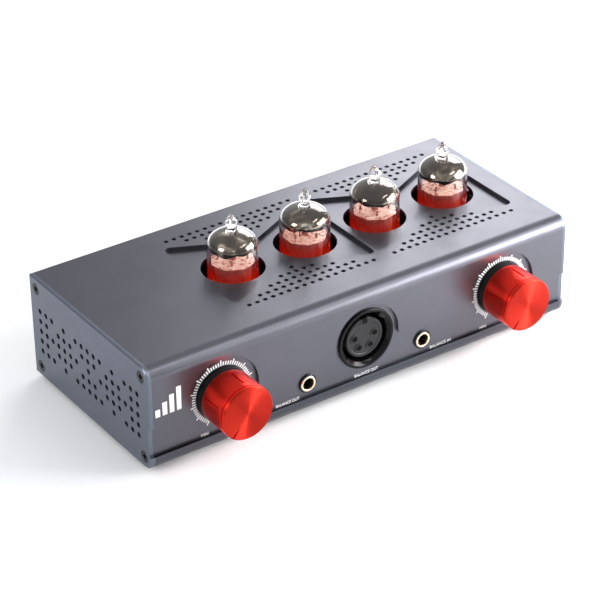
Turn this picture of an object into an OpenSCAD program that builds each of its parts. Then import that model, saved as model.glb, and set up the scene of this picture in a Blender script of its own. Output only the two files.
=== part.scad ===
// Small four-tube preamplifier and balanced headphone amplifier in an extruded aluminium case.
// Millimetres. +X is to the right seen from the front, +Y points to the rear and +Z is up.
// The origin is the centre of the whole object's footprint, on the surface that the feet stand on.

/* [Case] */
// Width over the two end plates
case_w = 185; // [184:0.5:188]
// Depth from the front face to the rear edges
case_d = 82.4; // [82:0.1:83]
// Height of the case without its feet
case_h = 42; // [41.6:0.1:43]
// Radius of the two front edges
corner_r = 5; // [4.6:0.1:5]
// Thickness of an end plate
plate_t = 1.6; // [1.4:0.1:2]
// Width of the chamfer round an end plate's outer face
plate_chamfer = 0.5; // [0.3:0.1:0.6]
// Thickness of the top wall
top_t = 3; // [2.8:0.1:3]
// Thickness of the base's floor
floor_t = 3; // [2.8:0.1:3]
// Height of the seam between the base's front lip and the top shell
seam_z = 6; // [5.8:0.1:6.2]
// Height of the rubber feet
foot_h = 2; // [1:0.5:4]

/* [Front panel] */
// Depth of the milled recess
recess_depth = 1.3; // [1:0.1:1.4]
// Upper edge of the recess's straight strip
recess_top_z = 18; // [17:0.5:19]
// Distance of each volume knob from the middle
knob_x = 62; // [60:0.5:63]
// Height of the knobs' and the headphone socket's axes
axis_z = 21.6; // [21:0.1:22]
// Radius of the round recess behind a knob
dial_r = 14.8; // [14.2:0.1:15]
// Radius of the round recess behind the headphone socket
socket_recess_r = 14; // [13.5:0.1:14.5]
// Distance of each balanced jack from the middle
jack_x = 25.7; // [25:0.1:27]
// Height of the balanced jacks
jack_z = 11.8; // [11:0.1:12.5]

/* [Knobs] */
// Outer radius of a knob
knob_r = 10.5; // [10:0.1:10.8]
// Distance from the recessed panel to a knob's face
knob_reach = 17; // [16:0.5:19]
// Number of narrow grooves along a knob
knob_grooves = 5; // [3:1:24]
// Angle of the pointer at rest, anticlockwise from the top
pointer_angle = 140; // [0:5:180]

/* [Tubes and vents] */
// Distance between neighbouring tubes
tube_pitch = 32; // [31:0.5:32]
// Middle of the row of tubes, from the middle of the case
tube_row_x = 19.6; // [18:0.1:21]
// Distance of the tubes' axes behind the middle of the case
tube_y = 3.4; // [2:0.1:5]
// Radius of a glass bulb
bulb_r = 9.5; // [9:0.1:9.6]
// Height of the exhaust tip above the case's underside
tube_tip_z = 63; // [61:0.5:66]
// Radius of a tube's cut-out in the top
cutout_r = 12; // [11.5:0.1:12.2]
// Depth of the bow-tie pockets
pocket_depth = 1.5; // [1:0.1:1.8]
// Distance between neighbouring holes of the top vents
top_vent_pitch = 3.41; // [3.3:0.01:3.5]
// Radius of a top vent hole
top_vent_r = 0.9; // [0.7:0.05:1]
// Distance between neighbouring holes of the side vents
side_vent_pitch = 4.24; // [4.1:0.01:4.3]
// Radius of a side vent hole
side_vent_r = 1.1; // [0.8:0.05:1.3]

/* [Controls] */
// Angle that the power lever swings through
toggle_swing = 24; // [16:1:24]
// Travel of a latch tab
latch_travel = 1.2; // [0.8:0.1:1.4]

/* [Hidden] */

$fn = 64;
eps = 0.01;

// Case: derived planes, in a frame with y = 0 in the middle of the case and z = 0 at its underside
front_y = -case_d / 2;
rear_y = case_d / 2;
panel_y = front_y + recess_depth;
wall_t = 2;
wall_back_y = panel_y + wall_t;
rear_edge_r = 1;
inner_w = case_w - 2 * plate_t;
fit_gap = 0.05;
groove_gap = 0.1;
rear_panel_t = 2;
rear_panel_inset = 0.5;
rear_face_y = rear_y - rear_panel_inset;
rear_back_y = rear_face_y - rear_panel_t;
rear_seat = 1.2;
lip_top_t = 0.5;
seam_depth = 1.5;

// Screw ports that run the full length of the extrusions
port_y = 36.4;
port_inset_z = 4.5;
port_r = 2.1;
port_bore_r = 1.25;
port_places = [for (y = [-port_y, port_y], z = [port_inset_z, case_h - port_inset_z]) [y, z]];

// Knobs and potentiometers: distances h are measured forwards from the recessed panel
skirt_h = [0.4, 3.3];
knob_back_h = 3.3;
knob_chamfer = 0.6;
ring_groove_h = [knob_reach - 1.9, knob_reach - 1.4];
ring_groove_depth = 0.4;
knob_groove_w = 0.5;
knob_groove_depth = 0.35;
shaft_r = 3;
shaft_bore_r = 3.05;
shaft_end_h = knob_reach - 3.5;
shaft_inner_h = -11;
bush_r = 3.5;
bush_h = 3;
pot_w = 17;
pot_d = 12;
set_screw_h = 8;
set_screw_r = 1.45;

// Tubes
tube_x = [for (i = [-1.5, -0.5, 0.5, 1.5]) tube_row_x + i * tube_pitch];
glass_t = 0.8;
glass_base_z = 22;
shoulder_z = tube_tip_z - 12;
dome_h = 7;
neck_r = 2;
socket_top_z = 21.8;
socket_r = 10;
socket_eye_r = 2.6;
pin_circle_r = 4.765;
pin_r = 0.51;
pin_step = 45;
pin_places = [for (i = [0 : 6]) pin_circle_r * [cos(i * pin_step - 135), sin(i * pin_step - 135)]];

// Circuit board
board_z = [7.8, 9.4];
board_w = 174;
board_d = 66;
standoff_places = [for (x = [-80, 12, 80], y = [-21, 21]) [x, y]];
screw_shank_r = 1.2;
screw_hole_r = 1.3;

// Top vents: four triangles of five rows
vent_rows = 5;
vent_base_half = 8;
vent_far_y = 28;
group_x = [tube_row_x - tube_pitch, tube_row_x + tube_pitch];

// Bow-tie pockets
pocket_half_w = 31.5;
pocket_half_d = 25;
pocket_waist = 9.6;

// Side vents: the columns that each row leaves out, counted from the rear
side_rows = [[3, 5, 11, 13], [2, 6, 10, 14], [7, 9], [2, 6, 10, 14], [3, 5, 11, 13]];
side_columns = 17;
side_vent_z = 20.5;
side_vent_y = 0.5;

// Round connectors: distances h are measured outwards from the panel
xlr_barrel_r = 11;
xlr_mouth_r = 9.7;
xlr_insert_r = 8.1;
xlr_depth = 15;
xlr_cap = 1.5;
contact_circle_r = 4.5;
contact_hole_r = 1.15;
contact_r = 1.12;
contact_bore_r = 0.75;
phones_angles = [172, 236, 304, 368];
line_angles = [38, 142, 270];
line_in_x = [-75, -45];
line_out_x = [45, 75];
flange_w = 26;
flange_h = 31;
flange_t = 1.6;
flange_corner = 4;
flange_screws = [[-9.5, 12], [9.5, -12]];
jack_hole_r = 2.25;
jack_depth = 19;
jack_relief = 0.6;
jack_body_w = 9;
toggle_x = 12;
toggle_z = 21;
dc_x = -12;
dc_z = 16;
toggle_pivot_h = 3.5;
toggle_arm = 8.5;
toggle_tip_r = 1.6;
toggle_mouth_r = 2;
toggle_pin_r = 0.6;

// Fasteners and small connectors
plate_head_r = 2.25;
plate_screw_length = 8;
base_head_r = 2.25;
base_screw_length = 5.3;
board_screw_grip = 2.2;
rear_head_r = 2.6;
jack_bush_r = 3.2;
jack_bush_seat = 3;
toggle_bush_r = 3;
dc_barrel_r = 4;
dc_hole_r = 2.85;
phones_ring_r = 12.1;
phones_latch_angle = 50;
phones_latch_r = 9.45;
phones_latch_size = [1.5, 3.2];
latch_tail_h = -3;
line_latch_r = 10.9;
line_latch_size = [3, 6];

// The object's middle, between the knobs' faces and the tip of the power lever
knob_face_y = panel_y - knob_reach;
toggle_tip_y = rear_face_y + toggle_pivot_h + toggle_arm * cos(toggle_swing / 2) + toggle_tip_r;
case_shift_y = -(knob_face_y + toggle_tip_y) / 2;

// ---- Placing and building helpers ----

// Moves from the case's frame to the object's frame
module place() {
    translate([0, case_shift_y, foot_h]) children();
}

// Extrudes a (y, z) outline along X, centred
module along_x(length) {
    rotate([90, 0, 90]) linear_extrude(height = length, center = true) children();
}

// Extrudes an (x, z) outline along Y from y0 to y1
module along_y(y0, y1) {
    translate([0, y1, 0]) rotate([90, 0, 0]) linear_extrude(height = y1 - y0) children();
}

// Turns local +Z into forwards (-Y) at a point of the front panel
module on_front(x, z, y = panel_y) {
    translate([x, y, z]) rotate([90, 0, 0]) children();
}

// Turns local +Z into rearwards (+Y) at a point of the rear panel
module on_rear(x, z) {
    translate([x, rear_face_y, z]) rotate([90, 0, 180]) children();
}

// A cylinder between two heights
module post(r, z0, z1) {
    translate([0, 0, z0]) cylinder(h = z1 - z0, r = r);
}

// A block centred in x and y between two heights
module block(size, z0, z1) {
    translate([-size[0] / 2, -size[1] / 2, z0]) cube([size[0], size[1], z1 - z0]);
}

// A rounded rectangle, centred
module rounded_rectangle(w, h, r) {
    union() {
        square([w, h - 2 * r], center = true);
        square([w - 2 * r, h], center = true);
        for (x = [-1, 1], y = [-1, 1]) translate([x * (w / 2 - r), y * (h / 2 - r)]) circle(r);
    }
}

// A hexagonal nut between two heights
module nut(across, bore, z0, z1) {
    difference() {
        translate([0, 0, z0]) cylinder(h = z1 - z0, r = across / sqrt(3), $fn = 6);
        post(bore, z0 - 1, z1 + 1);
    }
}

// A countersunk screw whose head is flush with z = 0 and whose tip points down
module countersunk_screw(head_r, shank_r, length) {
    cone_h = head_r - shank_r;
    difference() {
        rotate_extrude() polygon([[0, 0], [head_r, 0], [head_r, -0.2], [shank_r, -0.2 - cone_h],
            [shank_r, -length], [0, -length]]);
        translate([0, 0, -1.1]) cylinder(h = 2, r = head_r * 0.42, $fn = 6);
    }
}

// The hole that fits a countersunk screw, with running room
module countersunk_hole(head_r, shank_r, depth) {
    room = 0.08;
    cone_h = head_r - shank_r;
    rotate_extrude() polygon([[0, 1], [head_r + room, 1], [head_r + room, -0.2],
        [shank_r + room, -0.2 - cone_h], [shank_r + room, -depth], [0, -depth]]);
}

// ---- Case ----

// The whole case's outline in (y, z)
module case_outline() {
    union() {
        translate([front_y + corner_r, 0]) square([case_d - corner_r - rear_edge_r, case_h]);
        translate([front_y, corner_r]) square([2 * corner_r, case_h - 2 * corner_r]);
        translate([rear_y - 2 * corner_r, rear_edge_r]) square([2 * corner_r, case_h - 2 * rear_edge_r]);
        for (z = [corner_r, case_h - corner_r]) translate([front_y + corner_r, z]) circle(corner_r);
        for (z = [rear_edge_r, case_h - rear_edge_r]) translate([rear_y - rear_edge_r, z]) circle(rear_edge_r);
    }
}

// Points of a round recess's upper outline, with fillets where it rises from the straight strip
function round_recess(x, r) = let(
    fillet_r = 3,
    rise = recess_top_z + fillet_r - axis_z,
    side = sqrt(pow(r + fillet_r, 2) - pow(rise, 2)),
    meet = atan2(rise, side))
    concat(
        corner([x - side, recess_top_z + fillet_r], fillet_r, -90, -meet, 8),
        corner([x, axis_z], r, 180 - meet, meet, 48),
        corner([x + side, recess_top_z + fillet_r], fillet_r, 180 + meet, 270, 8));

// The front recess's outline in (x, z)
module recess_outline() {
    polygon(concat([[-case_w, 0], [-case_w, recess_top_z]], round_recess(-knob_x, dial_r),
        round_recess(0, socket_recess_r), round_recess(knob_x, dial_r),
        [[case_w, recess_top_z], [case_w, 0]]));
}

// A screw port along X, open at both ends
module screw_port(y, z) {
    translate([0, y, z]) rotate([0, 90, 0]) cylinder(h = inner_w, r = port_r, center = true);
}

module screw_port_bore(y, z) {
    translate([0, y, z]) rotate([0, 90, 0]) cylinder(h = case_w, r = port_bore_r, center = true);
}

// Points on a round corner at c, turning from angle a0 to angle a1
function corner(c, r, a0, a1, n = 8) = [for (i = [0 : n]) c + r * [cos(a0 + (a1 - a0) * i / n),
    sin(a0 + (a1 - a0) * i / n)]];

// One quarter of a bow-tie pocket's outline, from its outer side to its waist
function pocket_quarter() = let(
    slope = atan2(pocket_half_d - pocket_waist, pocket_half_w),
    r = 2.2,
    drop = r * (1 / cos(slope) + tan(slope)),
    outer = corner([pocket_half_w - r, pocket_half_d - drop], r, 0, 90 + slope),
    waist_r = 3,
    waist = corner([0, pocket_waist + waist_r / cos(slope)], waist_r, slope - 90, -90, 4))
    concat(outer, waist);

function flip(points, sx, sy) = [for (p = points) [p[0] * sx, p[1] * sy]];
function reversed(points) = [for (i = [len(points) - 1 : -1 : 0]) points[i]];

module pocket_outline() {
    q = pocket_quarter();
    polygon(concat(q, reversed(flip(q, -1, 1)), flip(q, -1, -1), reversed(flip(q, 1, -1))));
}

// One triangle of vent holes that points towards the tubes; side is 1 at the rear and -1 in front
module vent_triangle(x, side) {
    for (row = [0 : vent_rows - 1])
        let(half = vent_base_half - 2 * row)
            for (k = [-half : half])
                translate([x + k * top_vent_pitch, tube_y + side * (vent_far_y - row * top_vent_pitch),
                    case_h - top_t - 1])
                    cylinder(h = top_t + 2, r = top_vent_r, $fn = 24);
}

module top_shell() {
    color([0.29, 0.30, 0.34]) place() difference() {
        union() {
            difference() {
                along_x(inner_w - 2 * fit_gap) case_outline();
                // Inside of the case, and everything below the seam
                translate([-case_w, wall_back_y, -1]) cube([2 * case_w, case_d, case_h - top_t + 1]);
                translate([-case_w, front_y - 1, -1]) cube([2 * case_w, case_d, seam_z + fit_gap + 1]);
            }
            screw_port(-port_y, case_h - port_inset_z);
            screw_port(port_y, case_h - port_inset_z);
        }
        // Milled front recess
        along_y(front_y - 1, panel_y) recess_outline();
        // Seat for the rear panel
        translate([-case_w, rear_back_y - groove_gap, case_h - top_t - 1])
            cube([2 * case_w, rear_panel_t + 2 * groove_gap, 1 + rear_seat + groove_gap]);
        // Milled pockets, tube cut-outs and vents
        for (x = group_x) translate([x, tube_y, case_h - pocket_depth])
            linear_extrude(height = pocket_depth + 1) pocket_outline();
        for (x = tube_x) translate([x, tube_y, 0]) post(cutout_r, case_h - top_t - 1, case_h + 1);
        for (x = group_x, side = [-1, 1]) vent_triangle(x, side);
        // Holes for the controls and sockets
        on_front(0, axis_z) post(xlr_barrel_r + groove_gap, -wall_t - 1, 1);
        for (s = [-1, 1]) on_front(s * knob_x, axis_z) post(bush_r + groove_gap, -wall_t - 1, 1);
        for (s = [-1, 1]) on_front(s * jack_x, jack_z) post(jack_bush_r + groove_gap, -wall_t - 1, 1);
        for (y = [-port_y, port_y]) screw_port_bore(y, case_h - port_inset_z);
    }
}

module base_plate() {
    color([0.27, 0.28, 0.31]) place() difference() {
        union() {
            difference() {
                along_x(inner_w - 2 * fit_gap) case_outline();
                translate([-case_w, front_y - 1, seam_z]) cube([2 * case_w, case_d + 2, case_h]);
                translate([-case_w, wall_back_y, floor_t]) cube([2 * case_w, case_d, case_h]);
            }
            screw_port(-port_y, port_inset_z);
            screw_port(port_y, port_inset_z);
        }
        // Dark seam behind the lip's top edge
        translate([-case_w, front_y + lip_top_t, seam_z - seam_depth])
            cube([2 * case_w, recess_depth - lip_top_t, seam_depth + 1]);
        // Seat for the rear panel
        translate([-case_w, rear_back_y - groove_gap, floor_t - rear_seat - groove_gap])
            cube([2 * case_w, rear_panel_t + 2 * groove_gap, floor_t]);
        for (y = [-port_y, port_y]) screw_port_bore(y, port_inset_z);
        for (p = standoff_places) translate([p[0], p[1], 0]) rotate([180, 0, 0])
            countersunk_hole(base_head_r, screw_shank_r, floor_t + 1);
    }
}

module rear_panel() {
    z0 = floor_t - rear_seat;
    z1 = case_h - top_t + rear_seat;
    color([0.27, 0.28, 0.31]) place() difference() {
        translate([-inner_w / 2 + fit_gap, rear_back_y, z0])
            cube([inner_w - 2 * fit_gap, rear_panel_t, z1 - z0]);
        for (x = concat(line_in_x, line_out_x)) on_rear(x, axis_z) {
            post(xlr_barrel_r + groove_gap, -rear_panel_t - 1, 1);
            for (p = flange_screws) translate([p[0], p[1], 0])
                post(screw_hole_r, -rear_panel_t - 1, 1);
        }
        for (x = line_in_x) on_rear(x, axis_z) latch_pocket(90, line_latch_r, line_latch_size);
        on_rear(toggle_x, toggle_z) post(toggle_bush_r + groove_gap, -rear_panel_t - 1, 1);
        on_rear(dc_x, dc_z) post(dc_barrel_r + groove_gap, -rear_panel_t - 1, 1);
    }
}

// Cutters for the chamfer round an end plate's outer face, built for the plate on the right
module straight_chamfer(length) {
    rotate([0, 45, 0]) cube([plate_chamfer * sqrt(2), length, plate_chamfer * sqrt(2)], center = true);
}

module plate_chamfers() {
    long = 2 * case_d;
    for (z = [0, case_h]) translate([case_w / 2, 0, z]) straight_chamfer(long);
    for (y = [front_y, rear_y]) translate([case_w / 2, y, case_h / 2]) rotate([90, 0, 0])
        straight_chamfer(long);
}

module round_chamfer(z, turn) {
    translate([case_w / 2, front_y + corner_r, z]) rotate([0, 90, 0]) rotate([0, 0, turn])
        intersection() {
            rotate_extrude() polygon([[corner_r - plate_chamfer, eps], [corner_r + 1, eps],
                [corner_r + 1, -plate_chamfer - 1]]);
            translate([0, 0, -corner_r]) cube([2 * corner_r, 2 * corner_r, 2 * corner_r]);
        }
}

// An end plate, built for the right-hand side
module end_plate() {
    difference() {
        translate([case_w / 2 - plate_t / 2, 0, 0]) along_x(plate_t) case_outline();
        translate([0, front_y - 1, seam_z]) cube([case_w, recess_depth + 1, recess_top_z - seam_z]);
        plate_chamfers();
        round_chamfer(case_h - corner_r, 180);
        round_chamfer(corner_r, 270);
        for (p = port_places) translate([case_w / 2, p[0], p[1]]) rotate([0, 90, 0])
            countersunk_hole(plate_head_r, screw_shank_r, plate_t + 1);
        for (row = [0 : len(side_rows) - 1], column = [0 : side_columns - 1])
            if (len(search(column, side_rows[row])) == 0)
                translate([case_w / 2 - plate_t - 1,
                    side_vent_y + (side_columns / 2 - 0.5 - column) * side_vent_pitch,
                    side_vent_z + (2 - row) * side_vent_pitch])
                    rotate([0, 90, 0]) cylinder(h = plate_t + 2, r = side_vent_r, $fn = 24);
    }
}

module end_plate_left() {
    color([0.42, 0.44, 0.50]) place() mirror([1, 0, 0]) end_plate();
}

module end_plate_right() {
    color([0.42, 0.44, 0.50]) place() end_plate();
}

module end_plate_screws() {
    color([0.12, 0.12, 0.14]) place() for (s = [0, 1]) mirror([s, 0, 0])
        for (p = port_places) translate([case_w / 2, p[0], p[1]]) rotate([0, 90, 0])
            countersunk_screw(plate_head_r, screw_shank_r, plate_screw_length);
}

module base_screws() {
    color([0.12, 0.12, 0.14]) place() for (p = standoff_places) translate([p[0], p[1], 0])
        rotate([180, 0, 0]) countersunk_screw(base_head_r, screw_shank_r, base_screw_length);
}

module rubber_feet() {
    foot_r = 5;
    color([0.08, 0.08, 0.08]) place() for (x = [-68, 68], y = [-30, 30]) translate([x, y, 0])
        rotate_extrude() polygon([[0, 0], [foot_r, 0], [foot_r - 0.4, -foot_h], [0, -foot_h]]);
}

// ---- Circuit board and what stands on it ----

module board_standoffs() {
    color([0.75, 0.70, 0.50]) place() for (p = standoff_places) translate([p[0], p[1], 0])
        nut(5, screw_hole_r, floor_t, board_z[0]);
}

module board_screws() {
    head_r = 2.2;
    head_t = 1.6;
    color([0.7, 0.7, 0.72]) place() for (p = standoff_places) translate([p[0], p[1], 0])
        difference() {
            union() {
                post(head_r, board_z[1], board_z[1] + head_t);
                post(screw_shank_r, board_z[0] - board_screw_grip, board_z[1] + eps);
            }
            translate([0, 0, board_z[1] + 0.8]) cylinder(h = 2, r = 1, $fn = 6);
        }
}

module main_board() {
    notch_d = panel_y + jack_depth + 2 + 0.5 + board_d / 2;
    color([0.05, 0.25, 0.12]) place() difference() {
        block([board_w, board_d], board_z[0], board_z[1]);
        for (p = standoff_places) translate([p[0], p[1], 0])
            post(screw_hole_r, board_z[0] - 1, board_z[1] + 1);
        // Notches in the front edge for the jacks, which sit through the board
        for (s = [-1, 1]) translate([s * jack_x, -board_d / 2, 0])
            block([jack_body_w + 0.6, 2 * notch_d], board_z[0] - 1, board_z[1] + 1);
    }
}

module filter_capacitors() {
    can_r = 5;
    can_h = 18;
    color([0.15, 0.15, 0.30]) place() for (x = [-79, -67, -55], y = [-8, 6]) translate([x, y, 0])
        difference() {
            post(can_r, board_z[1], board_z[1] + can_h);
            // Rolled bead near the foot of the can
            translate([0, 0, board_z[1] + 2.5]) rotate_extrude() translate([can_r + 0.3, 0]) circle(0.6);
        }
}

module relays() {
    color([0.92, 0.90, 0.84]) place() for (x = [-12, 20]) translate([x, -14, 0])
        block([14, 7.5], board_z[1], board_z[1] + 9.5);
}

module regulators() {
    color([0.6, 0.6, 0.62]) place() translate([85, 4, 0]) difference() {
        block([3, 24], board_z[1], board_z[1] + 22);
        // Slots between the heat sink's fins
        for (y = [-8 : 4 : 8]) translate([1, y, board_z[1] + 8]) block([2, 2], 0, 20);
    }
}

// ---- Tubes ----

// The bulb's outline from its base to its tip, drawn inside the glass by t
function bulb_side(t) = concat(
    [[bulb_r - 1 - t, glass_base_z + t], [bulb_r - t, glass_base_z + 1 + t]],
    [for (a = [0 : 9 : 72]) [(bulb_r - t) * cos(a), shoulder_z + (dome_h - t) * sin(a)]]);

module tube_glass(i) {
    tip_base_z = shoulder_z + dome_h;
    tip = [[neck_r + 0.4, tip_base_z - 0.2], [neck_r, tip_base_z + 0.8], [neck_r * 0.8, tip_base_z + 2.2],
        [neck_r * 0.5, tube_tip_z - 0.9], [neck_r * 0.2, tube_tip_z - 0.1], [0, tube_tip_z]];
    hollow = concat([[0, glass_base_z + 2 * glass_t]], [for (p = bulb_side(glass_t))
        [p[0], max(p[1], glass_base_z + 2 * glass_t)]], [[0, shoulder_z + dome_h - glass_t]]);
    color([0.85, 0.80, 0.78, 0.45]) place() translate([tube_x[i - 1], tube_y, 0]) difference() {
        rotate_extrude() polygon(concat([[0, glass_base_z]], bulb_side(0), tip));
        rotate_extrude() polygon(hollow);
    }
}

module tube_cage(i) {
    mica_z = [29, 43.8];
    mica_t = 0.6;
    rod_r = 0.4;
    anode_r = 4.6;
    color([0.62, 0.60, 0.60]) place() translate([tube_x[i - 1], tube_y, 0]) union() {
        for (z = mica_z) post(bulb_r - 2, z, z + mica_t);
        post(anode_r, mica_z[0] + 2, mica_z[1] - 2);
        for (a = [45 : 90 : 315]) rotate([0, 0, a]) translate([anode_r + 1, 0, 0])
            post(rod_r, glass_base_z + 2 * glass_t, mica_z[1] + 2);
        post(1, mica_z[0], mica_z[1] + 3);
        translate([0, 0, mica_z[1] + 3]) rotate_extrude() translate([2.4, 0]) circle(0.5);
        translate([0, 0, mica_z[1] + 3]) cube([5, 1, 0.6], center = true);
    }
}

module tube_pins() {
    color([0.8, 0.8, 0.8]) place() for (x = tube_x, p = pin_places)
        translate([x + p[0], tube_y + p[1], 0]) post(pin_r, glass_base_z - 6, glass_base_z);
}

module tube_sockets() {
    color([0.07, 0.07, 0.07]) place() for (x = tube_x) translate([x, tube_y, 0]) difference() {
        post(socket_r, board_z[1], socket_top_z);
        post(socket_eye_r, board_z[1] - 1, socket_top_z + 1);
        for (p = pin_places) translate([p[0], p[1], 0]) post(pin_r + 0.1, board_z[1] + 3, socket_top_z + 1);
    }
}

module tube_lamps() {
    lamp_r = 1.5;
    lamp_top = 18;
    color([1, 0.25, 0.08]) place() for (x = tube_x) translate([x, tube_y, 0]) {
        post(lamp_r, board_z[1], lamp_top);
        translate([0, 0, lamp_top]) sphere(lamp_r);
    }
}

// ---- Volume controls ----

module knob() {
    front = knob_reach;
    ring = ring_groove_h;
    difference() {
        rotate_extrude() polygon([[shaft_bore_r, knob_back_h], [knob_r, knob_back_h],
            [knob_r, ring[0]], [knob_r - ring_groove_depth, ring[0]], [knob_r - ring_groove_depth, ring[1]],
            [knob_r, ring[1]], [knob_r, front - knob_chamfer], [knob_r - knob_chamfer, front],
            [0, front], [0, shaft_end_h + 0.2], [shaft_bore_r, shaft_end_h + 0.2]]);
        for (i = [0 : knob_grooves - 1]) rotate([0, 0, pointer_angle + 90 + i * 360 / knob_grooves])
            translate([knob_r - knob_groove_depth, -knob_groove_w / 2, knob_back_h + 1.2])
                cube([1, knob_groove_w, ring[0] - knob_back_h - 3.2]);
        // Pointer line cut into the face
        rotate([0, 0, pointer_angle + 90]) translate([knob_r - 4, -0.3, front - 0.35]) cube([5, 0.6, 1]);
        // Threaded hole for the set screw, on the underside
        rotate([90, 0, 0]) translate([0, set_screw_h, 0])
            cylinder(h = knob_r + 1, r = set_screw_r + 0.05);
    }
}

module knob_skirt() {
    difference() {
        post(knob_r - 0.1, skirt_h[0], skirt_h[1]);
        post(7, skirt_h[0] - 1, skirt_h[1] + 1);
    }
}

module set_screw() {
    translate([0, 0, set_screw_h]) rotate([90, 0, 0]) difference() {
        post(set_screw_r, shaft_r + 0.1, shaft_r + 5.1);
        translate([0, 0, shaft_r + 3.5]) cylinder(h = 3, r = 0.8, $fn = 6);
    }
}

module pot_shaft() {
    post(shaft_r, shaft_inner_h, shaft_end_h);
}

module potentiometer() {
    difference() {
        union() {
            block([pot_w, pot_w], -wall_t - pot_d, -wall_t);
            post(bush_r, -wall_t - eps, bush_h);
        }
        post(shaft_bore_r, shaft_inner_h - 0.3, bush_h + 1);
    }
}

module knob_left() {
    color([0.85, 0.10, 0.08]) place() on_front(-knob_x, axis_z) knob();
}

module knob_right() {
    color([0.85, 0.10, 0.08]) place() on_front(knob_x, axis_z) knob();
}

module knob_skirt_left() {
    color([0.04, 0.04, 0.04]) place() on_front(-knob_x, axis_z) knob_skirt();
}

module knob_skirt_right() {
    color([0.04, 0.04, 0.04]) place() on_front(knob_x, axis_z) knob_skirt();
}

module set_screw_left() {
    color([0.12, 0.12, 0.14]) place() on_front(-knob_x, axis_z) set_screw();
}

module set_screw_right() {
    color([0.12, 0.12, 0.14]) place() on_front(knob_x, axis_z) set_screw();
}

module pot_shaft_left() {
    color([0.75, 0.75, 0.77]) place() on_front(-knob_x, axis_z) pot_shaft();
}

module pot_shaft_right() {
    color([0.75, 0.75, 0.77]) place() on_front(knob_x, axis_z) pot_shaft();
}

module pot_left() {
    color([0.55, 0.55, 0.57]) place() on_front(-knob_x, axis_z) potentiometer();
}

module pot_right() {
    color([0.55, 0.55, 0.57]) place() on_front(knob_x, axis_z) potentiometer();
}

module pot_nuts() {
    color([0.7, 0.7, 0.72]) place() for (s = [-1, 1]) on_front(s * knob_x, axis_z)
        nut(10, bush_r + fit_gap, 0, 2);
}

// ---- Three- and four-contact sockets ----

// The pocket that a latch tab slides in
module latch_pocket(angle, r0, size) {
    rotate([0, 0, angle]) translate([r0 + size[0] / 2, 0, 0])
        block(size, latch_tail_h - latch_travel - 0.3, 3);
}

// A latch tab, fit_gap smaller all round than its pocket; it stands out to height top
module latch_tab(angle, r0, size, top) {
    rotate([0, 0, angle]) translate([r0 + size[0] / 2, 0, 0])
        block([size[0] - 0.2, size[1] - 0.2], latch_tail_h, top);
}

// Socket barrel: a cup with a closed back and a bevelled mouth, standing out to height rim
module socket_barrel(rim) {
    rotate_extrude() polygon([[0, -xlr_depth - xlr_cap], [xlr_barrel_r, -xlr_depth - xlr_cap],
        [xlr_barrel_r, rim], [xlr_mouth_r + 0.6, rim], [xlr_mouth_r, rim - 0.6],
        [xlr_mouth_r, -xlr_depth], [0, -xlr_depth]]);
}

module square_flange() {
    difference() {
        linear_extrude(height = flange_t) rounded_rectangle(flange_w, flange_h, flange_corner);
        post(xlr_barrel_r - 0.5, -1, flange_t + 1);
        for (p = flange_screws) translate([p[0], p[1], flange_t])
            countersunk_hole(rear_head_r, screw_shank_r, flange_t + 1);
    }
}

module phones_xlr_shell() {
    rim = 1;
    color([0.06, 0.06, 0.06]) place() on_front(0, axis_z) difference() {
        rotate_extrude() polygon([[0, -xlr_depth - xlr_cap], [xlr_barrel_r, -xlr_depth - xlr_cap],
            [xlr_barrel_r, 0], [phones_ring_r, 0], [phones_ring_r, rim - 0.3], [phones_ring_r - 0.3, rim],
            [xlr_mouth_r + 1.3, rim], [xlr_mouth_r, rim - 1.3], [xlr_mouth_r, -xlr_depth], [0, -xlr_depth]]);
        latch_pocket(phones_latch_angle, phones_latch_r, phones_latch_size);
    }
}

module phones_xlr_latch() {
    color([0.10, 0.10, 0.10]) place() on_front(0, axis_z)
        latch_tab(phones_latch_angle, phones_latch_r, phones_latch_size, 1.4);
}

// The plastic core that carries the contacts, with a key slot at the top
module socket_insert(angles) {
    difference() {
        post(xlr_insert_r, -xlr_depth, -0.4);
        translate([0, xlr_insert_r, 0]) block([1.8, 2.4], -xlr_depth + 3, 1);
        for (a = angles) rotate([0, 0, a]) translate([contact_circle_r, 0, 0])
            post(contact_hole_r, -xlr_depth + 2, 1);
    }
}

module socket_contacts(angles) {
    for (a = angles) rotate([0, 0, a]) translate([contact_circle_r, 0, 0]) difference() {
        post(contact_r, -xlr_depth + 2, -1.2);
        post(contact_bore_r, -xlr_depth + 4, 0);
    }
}

module phones_xlr_insert() {
    color([0.16, 0.16, 0.17]) place() on_front(0, axis_z) socket_insert(phones_angles);
}

module line_in_shell(x) {
    color([0.08, 0.08, 0.08]) place() on_rear(x, axis_z) difference() {
        union() {
            square_flange();
            socket_barrel(flange_t);
        }
        latch_pocket(90, line_latch_r, line_latch_size);
    }
}

module line_in_latch(x) {
    color([0.5, 0.5, 0.52]) place() on_rear(x, axis_z)
        latch_tab(90, line_latch_r, line_latch_size, flange_t + 0.6);
}

module line_in_shell_left() line_in_shell(line_in_x[0]);

module line_in_shell_right() line_in_shell(line_in_x[1]);

module line_in_latch_left() line_in_latch(line_in_x[0]);

module line_in_latch_right() line_in_latch(line_in_x[1]);

module line_in_inserts() {
    color([0.12, 0.12, 0.12]) place() for (x = line_in_x) on_rear(x, axis_z) socket_insert(line_angles);
}

module xlr_contacts() {
    color([0.85, 0.68, 0.30]) place() {
        on_front(0, axis_z) socket_contacts(phones_angles);
        for (x = line_in_x) on_rear(x, axis_z) socket_contacts(line_angles);
    }
}

module line_out_shell(x) {
    color([0.08, 0.08, 0.08]) place() on_rear(x, axis_z) union() {
        square_flange();
        socket_barrel(flange_t);
    }
}

module line_out_shell_left() line_out_shell(line_out_x[0]);

module line_out_shell_right() line_out_shell(line_out_x[1]);

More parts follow.
